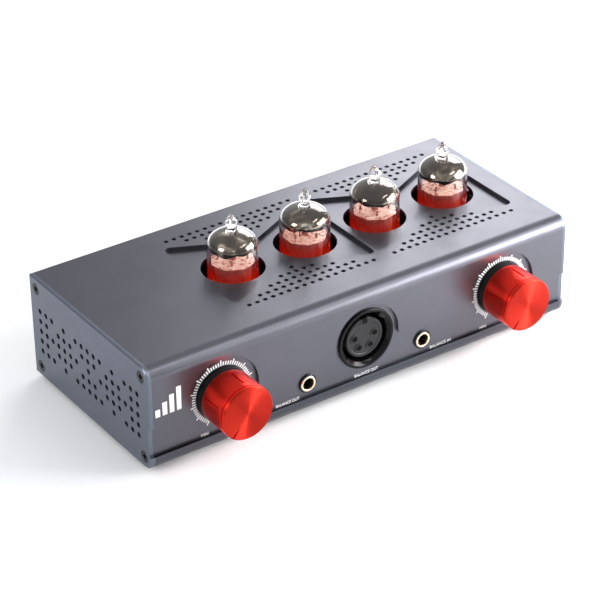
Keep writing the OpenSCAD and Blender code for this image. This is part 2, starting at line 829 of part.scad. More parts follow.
module line_out_pins() {
    tip_h = -1.5;
    color([0.85, 0.68, 0.30]) place() for (x = line_out_x, a = line_angles) on_rear(x, axis_z)
        rotate([0, 0, -a]) translate([contact_circle_r, 0, 0]) rotate_extrude()
            polygon([[0, -xlr_depth], [1.2, -xlr_depth], [1.2, tip_h - 0.7], [0.5, tip_h], [0, tip_h]]);
}

module rear_screws() {
    color([0.12, 0.12, 0.14]) place() for (x = concat(line_in_x, line_out_x), p = flange_screws)
        on_rear(x, axis_z) translate([p[0], p[1], flange_t])
            countersunk_screw(rear_head_r, screw_shank_r, 7);
}

// ---- Balanced jacks ----

module jack_body() {
    difference() {
        block([jack_body_w, jack_body_w], -jack_depth - 2, -wall_t);
        post(jack_bush_r + fit_gap, -wall_t - jack_bush_seat, 1);
        post(jack_hole_r, -jack_depth - jack_relief / 2, 1);
        // Wider relief at the end of the bore, clear of the plug's tip
        post(jack_hole_r + jack_relief, -jack_depth - jack_relief, -jack_depth);
    }
}

module jack_bush() {
    rim = 1;
    difference() {
        union() {
            post(jack_bush_r, -wall_t - jack_bush_seat + eps, 0.7);
            rotate_extrude() polygon([[0, 0.7], [jack_bush_r, 0.7], [jack_bush_r, rim - 0.2],
                [jack_bush_r - 0.2, rim], [0, rim]]);
        }
        post(jack_hole_r, -jack_depth, 2);
    }
}

module jack_body_left() {
    color([0.05, 0.05, 0.05]) place() on_front(-jack_x, jack_z) jack_body();
}

module jack_body_right() {
    color([0.05, 0.05, 0.05]) place() on_front(jack_x, jack_z) jack_body();
}

module jack_bush_left() {
    color([0.83, 0.62, 0.28]) place() on_front(-jack_x, jack_z) jack_bush();
}

module jack_bush_right() {
    color([0.83, 0.62, 0.28]) place() on_front(jack_x, jack_z) jack_bush();
}

module jack_nuts() {
    color([0.10, 0.10, 0.11]) place() for (s = [-1, 1]) on_front(s * jack_x, jack_z) difference() {
        post(jack_bush_r + 0.5, 0, 0.7);
        post(jack_bush_r + fit_gap, -1, 2);
    }
}

// ---- Power switch and inlet ----

module toggle_body() {
    bush_top = 6;
    color([0.10, 0.12, 0.30]) place() on_rear(toggle_x, toggle_z) difference() {
        union() {
            block([8, 13], -rear_panel_t - 9, -rear_panel_t);
            post(toggle_bush_r, -rear_panel_t - eps, bush_top);
        }
        post(toggle_mouth_r, -2, bush_top + 1);
        toggle_pin(toggle_pin_r + fit_gap, 2 * toggle_bush_r + 1);
    }
}

// The cross pin that the lever swings on, or the hole for it
module toggle_pin(r, length) {
    translate([0, 0, toggle_pivot_h]) rotate([0, 90, 0]) cylinder(h = length, r = r, center = true);
}

module toggle_nut() {
    color([0.7, 0.7, 0.72]) place() on_rear(toggle_x, toggle_z) nut(8, toggle_bush_r + fit_gap, 0, 2);
}

// The lever rests in its lower position
module toggle_lever() {
    color([0.78, 0.78, 0.80]) place() on_rear(toggle_x, toggle_z) union() {
        toggle_pin(toggle_pin_r, 2 * toggle_bush_r - 0.6);
        translate([0, 0, toggle_pivot_h]) rotate([toggle_swing / 2, 0, 0]) union() {
            sphere(toggle_mouth_r - 0.1);
            rotate_extrude() polygon([[0, -3.4], [1, -3.4], [1, 0], [1.2, 0], [1.2, 2.5],
                [toggle_tip_r, toggle_arm], [0, toggle_arm]]);
            translate([0, 0, toggle_arm]) sphere(toggle_tip_r);
        }
    }
}

module dc_inlet() {
    color([0.05, 0.05, 0.05]) place() on_rear(dc_x, dc_z) difference() {
        union() {
            block([9, 9], -rear_panel_t - 9, -rear_panel_t);
            post(dc_barrel_r, -rear_panel_t - eps, 0.8);
        }
        post(dc_hole_r, -9.5, 2);
    }
}

module dc_pin() {
    pin_rad = 1.05;
    color([0.8, 0.8, 0.82]) place() on_rear(dc_x, dc_z) rotate_extrude()
        polygon([[0, -9.5], [pin_rad, -9.5], [pin_rad, -1], [pin_rad - 0.4, -0.5], [0, -0.5]]);
}

top_shell();
base_plate();
rear_panel();
end_plate_left();
end_plate_right();
end_plate_screws();
base_screws();
board_standoffs();
board_screws();
rubber_feet();
main_board();
filter_capacitors();
relays();
regulators();
tube_glass(1);  // tube_glass_1
tube_glass(2);  // tube_glass_2
tube_glass(3);  // tube_glass_3
tube_glass(4);  // tube_glass_4
tube_cage(1);  // tube_cage_1
tube_cage(2);  // tube_cage_2
tube_cage(3);  // tube_cage_3
tube_cage(4);  // tube_cage_4
tube_pins();
tube_sockets();
tube_lamps();
knob_left();
knob_right();
knob_skirt_left();
knob_skirt_right();
set_screw_left();
set_screw_right();
pot_shaft_left();
pot_shaft_right();
pot_left();
pot_right();
pot_nuts();
phones_xlr_shell();
phones_xlr_insert();
phones_xlr_latch();
jack_body_left();
jack_body_right();
jack_bush_left();
jack_bush_right();
jack_nuts();
line_in_shell_left();
line_in_shell_right();
line_in_inserts();
line_in_latch_left();
line_in_latch_right();
xlr_contacts();
line_out_shell_left();
line_out_shell_right();
line_out_pins();
rear_screws();
toggle_body();
toggle_nut();
toggle_lever();
dc_inlet();
dc_pin();
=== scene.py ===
"""Looks for a compact four-tube desktop preamplifier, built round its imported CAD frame.

Pieces are drawn in millimetres in a local frame and placed in metres. In a local frame of the
front or rear panel, +Z points out of the panel and +Y points up.
"""
import math
import random

import bmesh
import bpy
from mathutils import Matrix, Vector


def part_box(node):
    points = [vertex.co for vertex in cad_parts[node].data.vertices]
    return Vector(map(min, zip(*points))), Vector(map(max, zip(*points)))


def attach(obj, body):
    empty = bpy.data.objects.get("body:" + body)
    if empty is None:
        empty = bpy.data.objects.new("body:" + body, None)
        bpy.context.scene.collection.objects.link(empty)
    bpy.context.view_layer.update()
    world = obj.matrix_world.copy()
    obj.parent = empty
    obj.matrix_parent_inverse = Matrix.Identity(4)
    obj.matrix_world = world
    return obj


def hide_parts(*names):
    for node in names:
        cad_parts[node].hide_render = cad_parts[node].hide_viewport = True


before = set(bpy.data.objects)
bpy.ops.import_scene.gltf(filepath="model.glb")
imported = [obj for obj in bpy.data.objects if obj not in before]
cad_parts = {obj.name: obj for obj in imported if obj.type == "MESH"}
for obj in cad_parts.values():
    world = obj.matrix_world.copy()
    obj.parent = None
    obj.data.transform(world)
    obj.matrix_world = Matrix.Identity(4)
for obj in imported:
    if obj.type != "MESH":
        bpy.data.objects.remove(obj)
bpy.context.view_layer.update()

MM = 0.001

# ---- Where things are: the case's own frame, read from the CAD nodes ----

plate_low, plate_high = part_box("end_plate_left")
MID_Y = (plate_low.y + plate_high.y) / 2
BASE_Z = plate_low.z
CASE_H = (plate_high.z - plate_low.z) / MM
CASE_D = (plate_high.y - plate_low.y) / MM
FRONT_Y = -CASE_D / 2


def case_box(*nodes):
    """The lowest and highest corners of some CAD nodes, in millimetres in the case's frame."""
    corners = [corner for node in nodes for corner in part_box(node)]
    points = [Vector((c.x, c.y - MID_Y, c.z - BASE_Z)) / MM for c in corners]
    return Vector(map(min, *points)), Vector(map(max, *points))


def middle(node):
    low, high = case_box(node)
    return (low + high) / 2


PANEL_Y = case_box("jack_nuts")[1].y
REAR_Y = case_box("rear_panel")[1].y
PLATE_X = case_box("end_plate_right")[1].x
SIDES = ("left", "right")


def at(x, y, z):
    """Places a local frame with no turn at a point of the case's frame."""
    return Matrix.Translation((x * MM, y * MM + MID_Y, z * MM + BASE_Z))


def on_front(x, z, y=PANEL_Y):
    return at(x, y, z) @ Matrix.Rotation(math.pi / 2, 4, "X")


def on_rear(x, z):
    return at(x, REAR_Y, z) @ Matrix.Rotation(math.pi, 4, "Z") @ Matrix.Rotation(math.pi / 2, 4, "X")


def on_side(side, y, z):
    """On the outer face of an end plate: side is -1 on the left and 1 on the right."""
    return at(side * PLATE_X, y, z) @ Matrix.Rotation(side * math.pi / 2, 4, "Y")


# ---- Materials ----

# Most of a noise's values lie between these two
NOISE_LOW, NOISE_HIGH = 0.3, 0.7
# Turned marks run round the axis, so the highlight is turned by a quarter of a turn from them
QUARTER_TURN = 0.25


def fill(node, **values):
    """Sets a node's inputs by name."""
    for name, value in values.items():
        node.inputs[name.replace("_", " ")].default_value = value


class Surface:
    """A principled material whose colour, roughness and bump come from nodes in object space."""

    def __init__(self, name, color, metallic=0.0, roughness=0.5, **sockets):
        self.material = bpy.data.materials.new(name)
        self.material.use_nodes = True
        self.material.diffuse_color = (*color, 1)
        self.tree = self.material.node_tree
        self.shader = self.tree.nodes["Principled BSDF"]
        self.place = self.node("ShaderNodeTexCoord").outputs["Object"]
        self.color = color
        fill(self.shader, Base_Color=(*color, 1), Metallic=metallic, Roughness=roughness, **sockets)

    def node(self, kind, **values):
        made = self.tree.nodes.new(kind)
        for name, value in values.items():
            setattr(made, name, value)
        return made

    def link(self, out, into):
        self.tree.links.new(out, into)

    def feed(self, name, out):
        """Links a value to one of the shader's inputs."""
        self.link(out, self.shader.inputs[name])
        return self

    def along(self, axis):
        """Distance along one of the piece's own axes, in metres."""
        split = self.node("ShaderNodeSeparateXYZ")
        self.link(self.place, split.inputs[0])
        return split.outputs[axis]

    def vector_math(self, operation, a, b):
        made = self.node("ShaderNodeVectorMath", operation=operation)
        self.link(a, made.inputs[0])
        self.link(b, made.inputs[1])
        return made.outputs[0]

    def own_place(self):
        """Object space moved by where the piece stands, so that no two tubes share a pattern."""
        location = self.node("ShaderNodeObjectInfo").outputs["Location"]
        return self.vector_math("ADD", self.place, location)

    def noise(self, size_mm, detail=3.0, roughness=0.6, place=None, distortion=0.0):
        """Noise whose features are about size_mm wide."""
        made = self.node("ShaderNodeTexNoise")
        fill(made, Scale=1 / (size_mm * MM), Detail=detail, Roughness=roughness, Distortion=distortion)
        self.link(place or self.place, made.inputs["Vector"])
        return made.outputs["Fac"]

    def ramp(self, value, *stops):
        """A colour ramp; each stop is a place and a grey level or a colour."""
        made = self.node("ShaderNodeValToRGB")
        elements = made.color_ramp.elements
        while len(elements) < len(stops):
            elements.new(0.5)
        for element, (place, color) in zip(elements, stops):
            element.position = place
            element.color = (*color, 1) if isinstance(color, tuple) else (color,) * 3 + (1,)
        self.link(value, made.inputs["Fac"])
        return made.outputs["Color"]

    def math(self, operation, a, b=0.0):
        made = self.node("ShaderNodeMath", operation=operation)
        for value, socket in zip((a, b), made.inputs):
            if isinstance(value, (int, float)):
                socket.default_value = value
            else:
                self.link(value, socket)
        return made.outputs[0]

    def tint(self, value, low, high):
        """Base colour from low to high times the material's colour, as a noise rises."""
        dark = tuple(c * low for c in self.color)
        light = tuple(min(c * high, 1) for c in self.color)
        return self.feed("Base Color", self.ramp(value, (NOISE_LOW, dark), (NOISE_HIGH, light)))

    def vary_roughness(self, value, low, high):
        return self.feed("Roughness", self.ramp(value, (NOISE_LOW, low), (NOISE_HIGH, high)))

    def bump(self, height, depth_mm, edge_mm=0.0):
        """Bump of depth_mm from a height value, over edges rounded by edge_mm."""
        made = self.node("ShaderNodeBump")
        fill(made, Distance=depth_mm * MM)
        self.link(height, made.inputs["Height"])
        if edge_mm:
            edge = self.node("ShaderNodeBevel", samples=4)
            fill(edge, Radius=edge_mm * MM)
            self.link(edge.outputs["Normal"], made.inputs["Normal"])
        return self.feed("Normal", made.outputs["Normal"])

    def spin(self, amount):
        """Lathe-turned finish: highlights stretch across the turning direction."""
        tangent = self.node("ShaderNodeTangent", direction_type="RADIAL", axis="Z")
        self.feed("Tangent", tangent.outputs["Tangent"])
        fill(self.shader, Anisotropic=amount, Anisotropic_Rotation=QUARTER_TURN)
        return self


def anodised(name, color, roughness):
    """Bead-blasted and anodised aluminium, with faint handling marks."""
    surface = Surface(name, color, metallic=0.9, roughness=roughness)
    surface.tint(surface.noise(38, detail=5), 0.94, 1.06)
    surface.vary_roughness(surface.noise(9, detail=6), roughness - 0.03, roughness + 0.03)
    return surface.bump(surface.noise(0.16, detail=2), 0.004, edge_mm=0.12).material


def plastic(name, color, roughness, depth_mm=0.006, **sockets):
    """Moulded plastic or rubber with a fine grain of depth_mm."""
    surface = Surface(name, color, roughness=roughness, **sockets)
    surface.tint(surface.noise(6, detail=4), 0.85, 1.15)
    surface.vary_roughness(surface.noise(2.5), roughness - 0.05, roughness + 0.07)
    return surface.bump(surface.noise(0.2), depth_mm).material


def plated(name, color, roughness):
    """Smooth plated metal with a slight tarnish."""
    surface = Surface(name, color, metallic=1.0, roughness=roughness)
    surface.tint(surface.noise(3, detail=5), 0.85, 1.08)
    surface.vary_roughness(surface.noise(1.2, detail=4), roughness * 0.8, roughness * 1.25)
    return surface.bump(surface.noise(0.4), 0.002).material


def turned(name, color, roughness, amount):
    """Anodised metal turned on a lathe, with fine rings round the piece's own axis."""
    surface = Surface(name, color, metallic=1.0, roughness=roughness)
    surface.tint(surface.noise(5, detail=4), 0.95, 1.05)
    x, y = surface.along("X"), surface.along("Y")
    square = surface.math("ADD", surface.math("MULTIPLY", x, x), surface.math("MULTIPLY", y, y))
    ring_step = 0.18 * MM
    phase = surface.math("MULTIPLY", surface.math("SQRT", square), 2 * math.pi / ring_step)
    rings = surface.math("SINE", phase)
    surface.bump(surface.math("ADD", rings, surface.noise(0.3)), 0.0008)
    return surface.spin(amount).material


def glass_material():
    """Clear blown glass with a painted red glow near its foot, as from the lamp under the tube."""
    surface = Surface("tube_glass", (1.0, 0.985, 0.97), roughness=0.015, IOR=1.47,
                      Transmission_Weight=1.0, Emission_Strength=0.05)
    surface.bump(surface.noise(7, detail=1), 0.05)
    height = surface.math("DIVIDE", surface.along("Z"), GLASS_H * MM)
    # Painted glow: red emission on the glass, strongest at its foot and gone above two thirds of its height
    glow = surface.ramp(height, (0.0, (1.0, 0.03, 0.008)), (0.40, (0.9, 0.015, 0.006)),
                        (0.56, (0.25, 0.003, 0.001)), (0.66, 0.0))
    return surface.feed("Emission Color", glow).material


def getter_material():
    """Silvery barium film with dark brown patches, different on each tube: partly the film's own tone,
    partly painted reflection of dark surroundings.
    """
    surface = Surface("getter_film", (0.66, 0.62, 0.54), metallic=1.0, roughness=0.12)
    own_place = surface.own_place()
    patches = surface.noise(9, detail=5, roughness=0.62, place=own_place, distortion=1.0)
    # The darkest patches are painted reflection of dark surroundings as well as the film's brown tone
    color = surface.ramp(patches, (0.44, (0.030, 0.018, 0.010)), (0.53, (0.11, 0.08, 0.05)),
                         (0.60, (0.42, 0.36, 0.28)), (0.67, (0.88, 0.84, 0.77)))
    surface.feed("Base Color", color)
    surface.vary_roughness(patches, 0.25, 0.06)
    return surface.bump(surface.noise(5, detail=2, place=own_place), 0.05).material


def works_material():
    """Metal inside a tube with a painted red glow, as if lit from below: the glow fades with height, and a
    painted orange highlight makes it brighter on the right.
    """
    surface = Surface("tube_metal", (0.42, 0.20, 0.17), metallic=0.8, roughness=0.42,
                      Emission_Strength=0.42)
    surface.tint(surface.noise(2.5, detail=4), 0.7, 1.2)
    # Painted glow: emission that is red and strong low down and fades out with height
    height = surface.math("DIVIDE", surface.along("Z"), GLASS_H * MM)
    ragged = surface.math("ADD", height, surface.math("MULTIPLY", surface.noise(3.5), 0.12))
    glow = surface.ramp(ragged, (0.0, (1.0, 0.16, 0.03)), (0.30, (1.0, 0.05, 0.012)),
                        (0.50, (0.75, 0.015, 0.006)), (0.60, (0.10, 0.002, 0.001)), (0.68, 0.0))
    # Painted highlight: the glow grows brighter and more orange towards the piece's +x side
    across = surface.math("DIVIDE", surface.along("X"), BULB_R * MM)
    side = surface.ramp(surface.math("ADD", surface.math("MULTIPLY", across, 0.5), 0.5),
                        (0.0, (0.22, 0.22, 0.22)), (0.55, (0.5, 0.45, 0.45)), (0.85, (1.2, 1.8, 1.2)),
                        (0.97, (2.5, 9.0, 3.0)))
    surface.feed("Emission Color", surface.vector_math("MULTIPLY", glow, side))
    return surface.bump(surface.noise(0.6), 0.03).material


def mica_material():
    """White mica disc with silvery spatter and brown scorch marks, and a painted pink glow where the mica is
    light.
    """
    surface = Surface("mica", (0.88, 0.80, 0.76), roughness=0.3, Emission_Strength=0.55)
    marks = surface.noise(2.2, detail=5, roughness=0.7, place=surface.own_place(), distortion=1.2)
    color = surface.ramp(marks, (0.36, (0.20, 0.06, 0.03)), (0.43, (0.55, 0.28, 0.20)),
                         (0.49, (0.92, 0.72, 0.64)), (0.7, (1.0, 0.90, 0.86)))
    # Painted glow: the light parts of the mica glow pink, as if lit by the lamp below
    glow = surface.ramp(marks, (0.38, (0.15, 0.03, 0.01)), (0.52, (0.78, 0.30, 0.20)))
    surface.feed("Base Color", color).feed("Emission Color", glow)
    return surface.bump(marks, 0.15).material


def lamp_material():
    """The red lamp under each tube."""
    surface = Surface("lamp", (1.0, 0.12, 0.02), roughness=0.25, Emission_Strength=9.0)
    surface.tint(surface.noise(1.5), 0.9, 1.1)
    glow = surface.ramp(surface.noise(1.5), (NOISE_LOW, (1.0, 0.10, 0.02)), (NOISE_HIGH, (1.0, 0.3, 0.08)))
    return surface.feed("Emission Color", glow).material


def board_material():
    """Green solder mask with lighter traces."""
    surface = Surface("circuit_board", (0.012, 0.07, 0.035), roughness=0.35, Coat_Weight=0.4)
    grid = surface.node("ShaderNodeTexBrick")
    fill(grid, Scale=1 / (9 * MM), Mortar_Size=0.03, Color1=(0.010, 0.065, 0.030, 1),
         Color2=(0.014, 0.080, 0.040, 1), Mortar=(0.03, 0.16, 0.07, 1))
    surface.link(surface.place, grid.inputs["Vector"])
    surface.feed("Base Color", grid.outputs["Color"])
    return surface.bump(grid.outputs["Fac"], 0.03).material


def print_material():
    """White screen printing, slightly uneven."""
    surface = Surface("white_print", (0.97, 0.97, 0.98), roughness=0.6)
    surface.tint(surface.noise(0.8), 0.92, 1.08)
    return surface.bump(surface.noise(0.15), 0.003).material


tube_box = case_box("tube_glass_1")
GLASS_BASE = tube_box[0].z
GLASS_H = tube_box[1].z - tube_box[0].z
BULB_R = (tube_box[1].x - tube_box[0].x) / 2

shell_metal = anodised("shell_finish", (0.112, 0.112, 0.132), 0.36)
base_metal = anodised("base_finish", (0.075, 0.078, 0.096), 0.38)
plate_metal = anodised("plate_finish", (0.145, 0.16, 0.20), 0.40)
black_steel = plated("black_steel", (0.05, 0.05, 0.055), 0.38)
bright_steel = plated("bright_steel", (0.72, 0.71, 0.69), 0.22)
brass = plated("brass", (0.78, 0.60, 0.30), 0.25)
gold = plated("gold", (0.95, 0.76, 0.58), 0.2)
latch_metal = plated("latch_metal", (0.5, 0.5, 0.52), 0.34)
rubber = plastic("foot_rubber", (0.02, 0.02, 0.02), 0.75, depth_mm=0.02)
black_plastic = plastic("black_plastic", (0.006, 0.006, 0.0065), 0.5, Specular_IOR_Level=0.15)
gloss_black = plastic("connector_black", (0.004, 0.004, 0.0045), 0.16, 0.001, Specular_IOR_Level=0.14)
insert_grey = plastic("insert_grey", (0.014, 0.014, 0.015), 0.42, Specular_IOR_Level=0.3)
# Near-black plastic for the tube sockets; also painted shade in the contact wells and key slots
socket_black = plastic("socket_black", (0.002, 0.002, 0.002), 0.5, Specular_IOR_Level=0.08)
capacitor = plastic("capacitor_sleeve", (0.03, 0.03, 0.09), 0.25)
relay_case = plastic("relay_case", (0.80, 0.77, 0.68), 0.4)
heat_sink = anodised("heat_sink", (0.45, 0.45, 0.47), 0.35)
switch_blue = plastic("switch_blue", (0.03, 0.06, 0.25), 0.3)
knob_red = turned("knob_red", (0.78, 0.030, 0.018), 0.28, 0.8)
knob_face = turned("knob_face", (0.52, 0.026, 0.015), 0.45, 0.95)
washer_black = plated("washer_black", (0.035, 0.035, 0.04), 0.25)
tube_metal = works_material()
tube_glass = glass_material()
getter_film = getter_material()
mica = mica_material()
lamp = lamp_material()
circuit_board = board_material()
white_print = print_material()

# ---- Building helpers ----


def show(name, data):
    """Makes an object and puts it in the scene."""
    made = bpy.data.objects.new(name, data)
    bpy.context.scene.collection.objects.link(made)
    return made


def mesh_of(bm, name):
    """A mesh in metres, from a mesh in progress in millimetres."""
    bmesh.ops.recalc_face_normals(bm, faces=bm.faces)
    mesh = bpy.data.meshes.new(name)
    bm.to_mesh(mesh)
    bm.free()
    mesh.transform(Matrix.Scale(MM, 4))
    return mesh


def evaluated_mesh(made):
    """A new mesh of an object as it is seen: modifiers applied, text drawn."""
    bpy.context.view_layer.update()
    return bpy.data.meshes.new_from_object(made.evaluated_get(bpy.context.evaluated_depsgraph_get()))


def join(into, part, x=0.0):
    """Adds one mesh in progress to another, moved by x."""
    bmesh.ops.translate(part, vec=(x, 0, 0), verts=part.verts)
    mesh = bpy.data.meshes.new("part")
    part.to_mesh(mesh)
    part.free()
    into.from_mesh(mesh)
    bpy.data.meshes.remove(mesh)


def add_piece(name, mesh, matrix, body, materials, replaced=()):
    """Places a piece, lets it ride on a body and hides the CAD nodes it stands for."""
    for material in materials if isinstance(materials, list) else [materials]:
        mesh.materials.append(material)
    made = show(name, mesh)
    made.matrix_world = matrix
    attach(made, body)
    if replaced:
        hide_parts(*replaced)
    return made


def piece(name, bm, matrix, body, materials, replaced=(), smooth=35):
    """A piece from a mesh in progress. Edges sharper than smooth degrees stay sharp."""
    bmesh.ops.remove_doubles(bm, verts=bm.verts, dist=1e-5)
    mesh = mesh_of(bm, name)
    mesh.shade_smooth()
    mesh.set_sharp_from_angle(angle=math.radians(smooth))
    return add_piece(name, mesh, matrix, body, materials, replaced)


def full_turn(count):
    return [2 * math.pi * i / count for i in range(count)]


def around(radius, angle):
    """The x and y of a point at a distance from the axis."""
    return radius * math.cos(angle), radius * math.sin(angle)


def ring(radius, height, turn, middle_at=(0, 0)):
    """Points round the axis; radius is a number or a function of the angle."""
    size = radius if callable(radius) else lambda angle: radius
    points = [around(size(a), a) for a in turn]
    return [Vector((middle_at[0] + x, middle_at[1] + y, height)) for x, y in points]


def rings_of(profile, turn, middle_at=(0, 0)):
    """Rings from a profile of (radius, height)."""
    return [ring(radius, height, turn, middle_at) for radius, height in profile]


def loft(bm, rings, closed=False, material=0):
    """Skins rings that have the same number of points. Ends that aren't joined up are capped."""
    loops = [[bm.verts.new(p) for p in points] for points in rings]
    pairs = list(zip(loops, loops[1:]))
    if closed:
        pairs.append((loops[-1], loops[0]))
    faces = []
    for low, high in pairs:
        for i in range(len(low)):
            j = (i + 1) % len(low)
            faces.append(bm.faces.new((low[i], low[j], high[j], high[i])))
    if not closed:
        faces += [bm.faces.new(loops[0][::-1]), bm.faces.new(loops[-1])]
    for face in faces:
        face.material_index = material


def soften(points, radius):
    """A profile whose inner corners are rounded by about radius."""
    steps = 3
    made = [Vector(points[0])]
    for before, corner, after in zip(points, points[1:], points[2:]):
        corner = Vector(corner)
        back, on = Vector(before) - corner, Vector(after) - corner
        reach = min(radius, back.length * 0.45, on.length * 0.45)
        start, end = corner + back.normalized() * reach, corner + on.normalized() * reach
        for i in range(steps + 1):
            t = i / steps
            made.append(start * (1 - t) ** 2 + corner * 2 * t * (1 - t) + end * t * t)
    return made + [Vector(points[-1])]


# A ring on the axis has this radius, so that it keeps its number of points
AXIS_R = 0.02


def lathe(bm, profile, turns=128, radius=0.12, middle_at=(0, 0), closed=False, material=0):
    """Turns a profile of (radius, height) points round the axis. An open profile starts and ends at it."""
    outline = soften(profile, radius) if radius else [Vector(p) for p in profile]
    if closed:
        outline = soften([profile[-1], *profile, profile[0]], radius)[1:-1]
    outline = [(max(r, AXIS_R), z) for r, z in outline]
    loft(bm, rings_of(outline, full_turn(turns), middle_at), closed=closed, material=material)


def hexagon(across, angle):
    """Distance from the axis to a hexagon's side at an angle."""
    sector = math.pi / 3
    return across / 2 / math.cos((angle % sector) - sector / 2)


def rounded_box(width, height, corner, angle):
    """Distance from the axis to a rounded rectangle's side at an angle."""
    c, s = abs(math.cos(angle)), abs(math.sin(angle))
    flat = min(width / 2 / c if c > 1e-9 else 1e9, height / 2 / s if s > 1e-9 else 1e9)
    x, y = flat * c, flat * s
    cx, cy = width / 2 - corner, height / 2 - corner
    if x <= cx or y <= cy:
        return flat
    along = c * cx + s * cy
    return along + math.sqrt(corner ** 2 - (cx * cx + cy * cy - along * along))


def round_end(radius, z):
    """The profile of a half ball that stands on height z."""
    return [(radius * math.cos(math.radians(a)), z + radius * math.sin(math.radians(a)))
            for a in range(0, 91, 15)]


def spoke(bm, angle, near, far, width, heights):
    """A block that points away from the axis at an angle, from near to far."""
    turn = Matrix.Rotation(angle, 3, "Z")
    half = width / 2
    corners = ((near, -half), (far, -half), (far, half), (near, half))
    outline = [turn @ Vector((along, across, 0)) for along, across in corners]
    loft(bm, [[p + Vector((0, 0, z)) for p in outline] for z in heights])


def slab(bm, low, high, material=0):
    """A block between two corners."""
    (x0, y0, z0), (x1, y1, z1) = low, high
    outline = ((x0, y0), (x1, y0), (x1, y1), (x0, y1))
    loft(bm, [[Vector((x, y, z)) for x, y in outline] for z in (z0, z1)], material=material)


def bevelled(made, width_mm, segments=2):
    """Rounds the edges of a piece that turn by more than 40 degrees."""
    bevel = made.modifiers.new("edges", "BEVEL")
    bevel.width = width_mm * MM
    bevel.segments = segments
    bevel.limit_method = "ANGLE"
    bevel.angle_limit = math.radians(40)
    bevel.harden_normals = True


# Where a latch tab's pocket begins and ends, from the panel
POCKET_Z = (-4.5, 3)


def cut_pocket(made, angle, near_r, size):
    """Cuts the straight pocket that a latch tab slides in; size is along and across the radius."""
    bm = bmesh.new()
    slab(bm, (near_r, -size[1] / 2, POCKET_Z[0]), (near_r + size[0], size[1] / 2, POCKET_Z[1]))
    cutter = show("pocket", mesh_of(bm, "pocket"))
    bpy.context.view_layer.update()
    cutter.matrix_world = made.matrix_world @ Matrix.Rotation(math.radians(angle), 4, "Z")
    cut = made.modifiers.new("pocket", "BOOLEAN")
    cut.object = cutter
    cut.solver = "EXACT"
    carved = evaluated_mesh(made)
    made.modifiers.clear()
    made.data = carved
    bpy.data.objects.remove(cutter)
    carved.set_sharp_from_angle(angle=math.radians(35))


# Faces that turn by more than this meet in a sharp edge
CREASE = math.radians(32)


def patches_of(bm, belongs):
    """Lists of joined faces. belongs(first, other) says whether a face goes with its patch's first one."""
    bm.faces.ensure_lookup_table()
    seen, found = set(), []
    for first in bm.faces:
        if first.index in seen:
            continue
        patch, stack = [], [first]
        seen.add(first.index)
        while stack:
            face = stack.pop()
            patch.append(face)
            for edge in face.edges:
                for other in edge.link_faces:
                    if other.index not in seen and belongs(first, other):
                        seen.add(other.index)
                        stack.append(other)
        found.append(patch)
    return found


def in_one_plane(first, other):
    return other.normal.dot(first.normal) > 0.99999


def smooth_copy(name, node, material):
    """Stands for a CAD node: the same shape, with round faces shaded smooth and flat faces kept flat.

    Each corner's normal is the mean of the flat areas that meet there within the crease angle,
    weighted so that a large flat face keeps its own normal."""
    bm = bmesh.new()
    bm.from_mesh(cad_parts[node].data)
    bmesh.ops.remove_doubles(bm, verts=bm.verts, dist=1e-7)
    region, areas = {}, []
    for number, patch in enumerate(patches_of(bm, in_one_plane)):
        areas.append(sum(face.calc_area() for face in patch))
        region.update((face.index, number) for face in patch)
    limit = math.cos(CREASE)
    normals = []
    for face in bm.faces:
        for loop in face.loops:
            total, seen = Vector(), set()
            for other in loop.vert.link_faces:
                number = region[other.index]
                if number not in seen and other.normal.dot(face.normal) > limit:
                    seen.add(number)
                    total += other.normal * areas[number] ** 2
            normals.append(total.normalized() if total.length > 0 else face.normal.copy())
    mesh = bpy.data.meshes.new(name)
    bm.to_mesh(mesh)
    bm.free()
    mesh.shade_smooth()
    mesh.normals_split_custom_set(normals)
    add_piece(name, mesh, Matrix.Identity(4), "case", material, [node])


# ---- Camera, floor and light ----

CAMERA_AZIMUTH, CAMERA_ELEVATION, CAMERA_ROLL = (math.radians(a) for a in (-34.067, 30.922, -0.886))
CAMERA_DISTANCE = 0.926718
CAMERA_TARGET = at(-1.332, 0, 18.647).translation
LENS_MM = 148.523
SENSOR_MM = 36


def direction(azimuth, elevation):
    """The way to a point at an azimuth from the front, anticlockwise from above, and an elevation."""
    flat = math.cos(elevation)
    return Vector((math.sin(azimuth) * flat, -math.cos(azimuth) * flat, math.sin(elevation)))


def make_camera():
    back = direction(CAMERA_AZIMUTH, CAMERA_ELEVATION)
    right = Vector((0, 0, 1)).cross(back).normalized()
    up = back.cross(right)
    c, s = math.cos(CAMERA_ROLL), math.sin(CAMERA_ROLL)
    turned_right, turned_up = right * c + up * s, up * c - right * s
    data = bpy.data.cameras.new("camera")
    data.sensor_width = SENSOR_MM
    data.lens = LENS_MM
    data.clip_start = 0.01
    data.clip_end = 50
    camera = show("camera", data)
    turn = Matrix((turned_right, turned_up, back)).transposed().to_4x4()
    camera.matrix_world = Matrix.Translation(CAMERA_TARGET + back * CAMERA_DISTANCE) @ turn
    bpy.context.scene.camera = camera


def make_floor():
    bm = bmesh.new()
    bmesh.ops.create_grid(bm, x_segments=8, y_segments=8, size=4)
    mesh = bpy.data.meshes.new("floor")
    bm.to_mesh(mesh)
    bm.free()
    surface = Surface("floor", (0.93, 0.93, 0.93), roughness=0.8)
    surface.tint(surface.noise(400), 0.99, 1.01)
    mesh.materials.append(surface.material)
    floor = show("floor", mesh)


def softbox(name, azimuth, elevation, distance, size, radiance, aim=(0, 0, 25)):
    """An area light that is aimed at a point of the case."""
    away = direction(math.radians(azimuth), math.radians(elevation))
    data = bpy.data.lights.new(name, "AREA")
    data.shape = "RECTANGLE"
    data.size, data.size_y = size
    data.energy = radiance * math.pi * size[0] * size[1]
    light = show(name, data)
    turn = away.to_track_quat("Z", "Y").to_matrix().to_4x4()
    light.matrix_world = Matrix.Translation(at(*aim).translation + away * distance) @ turn


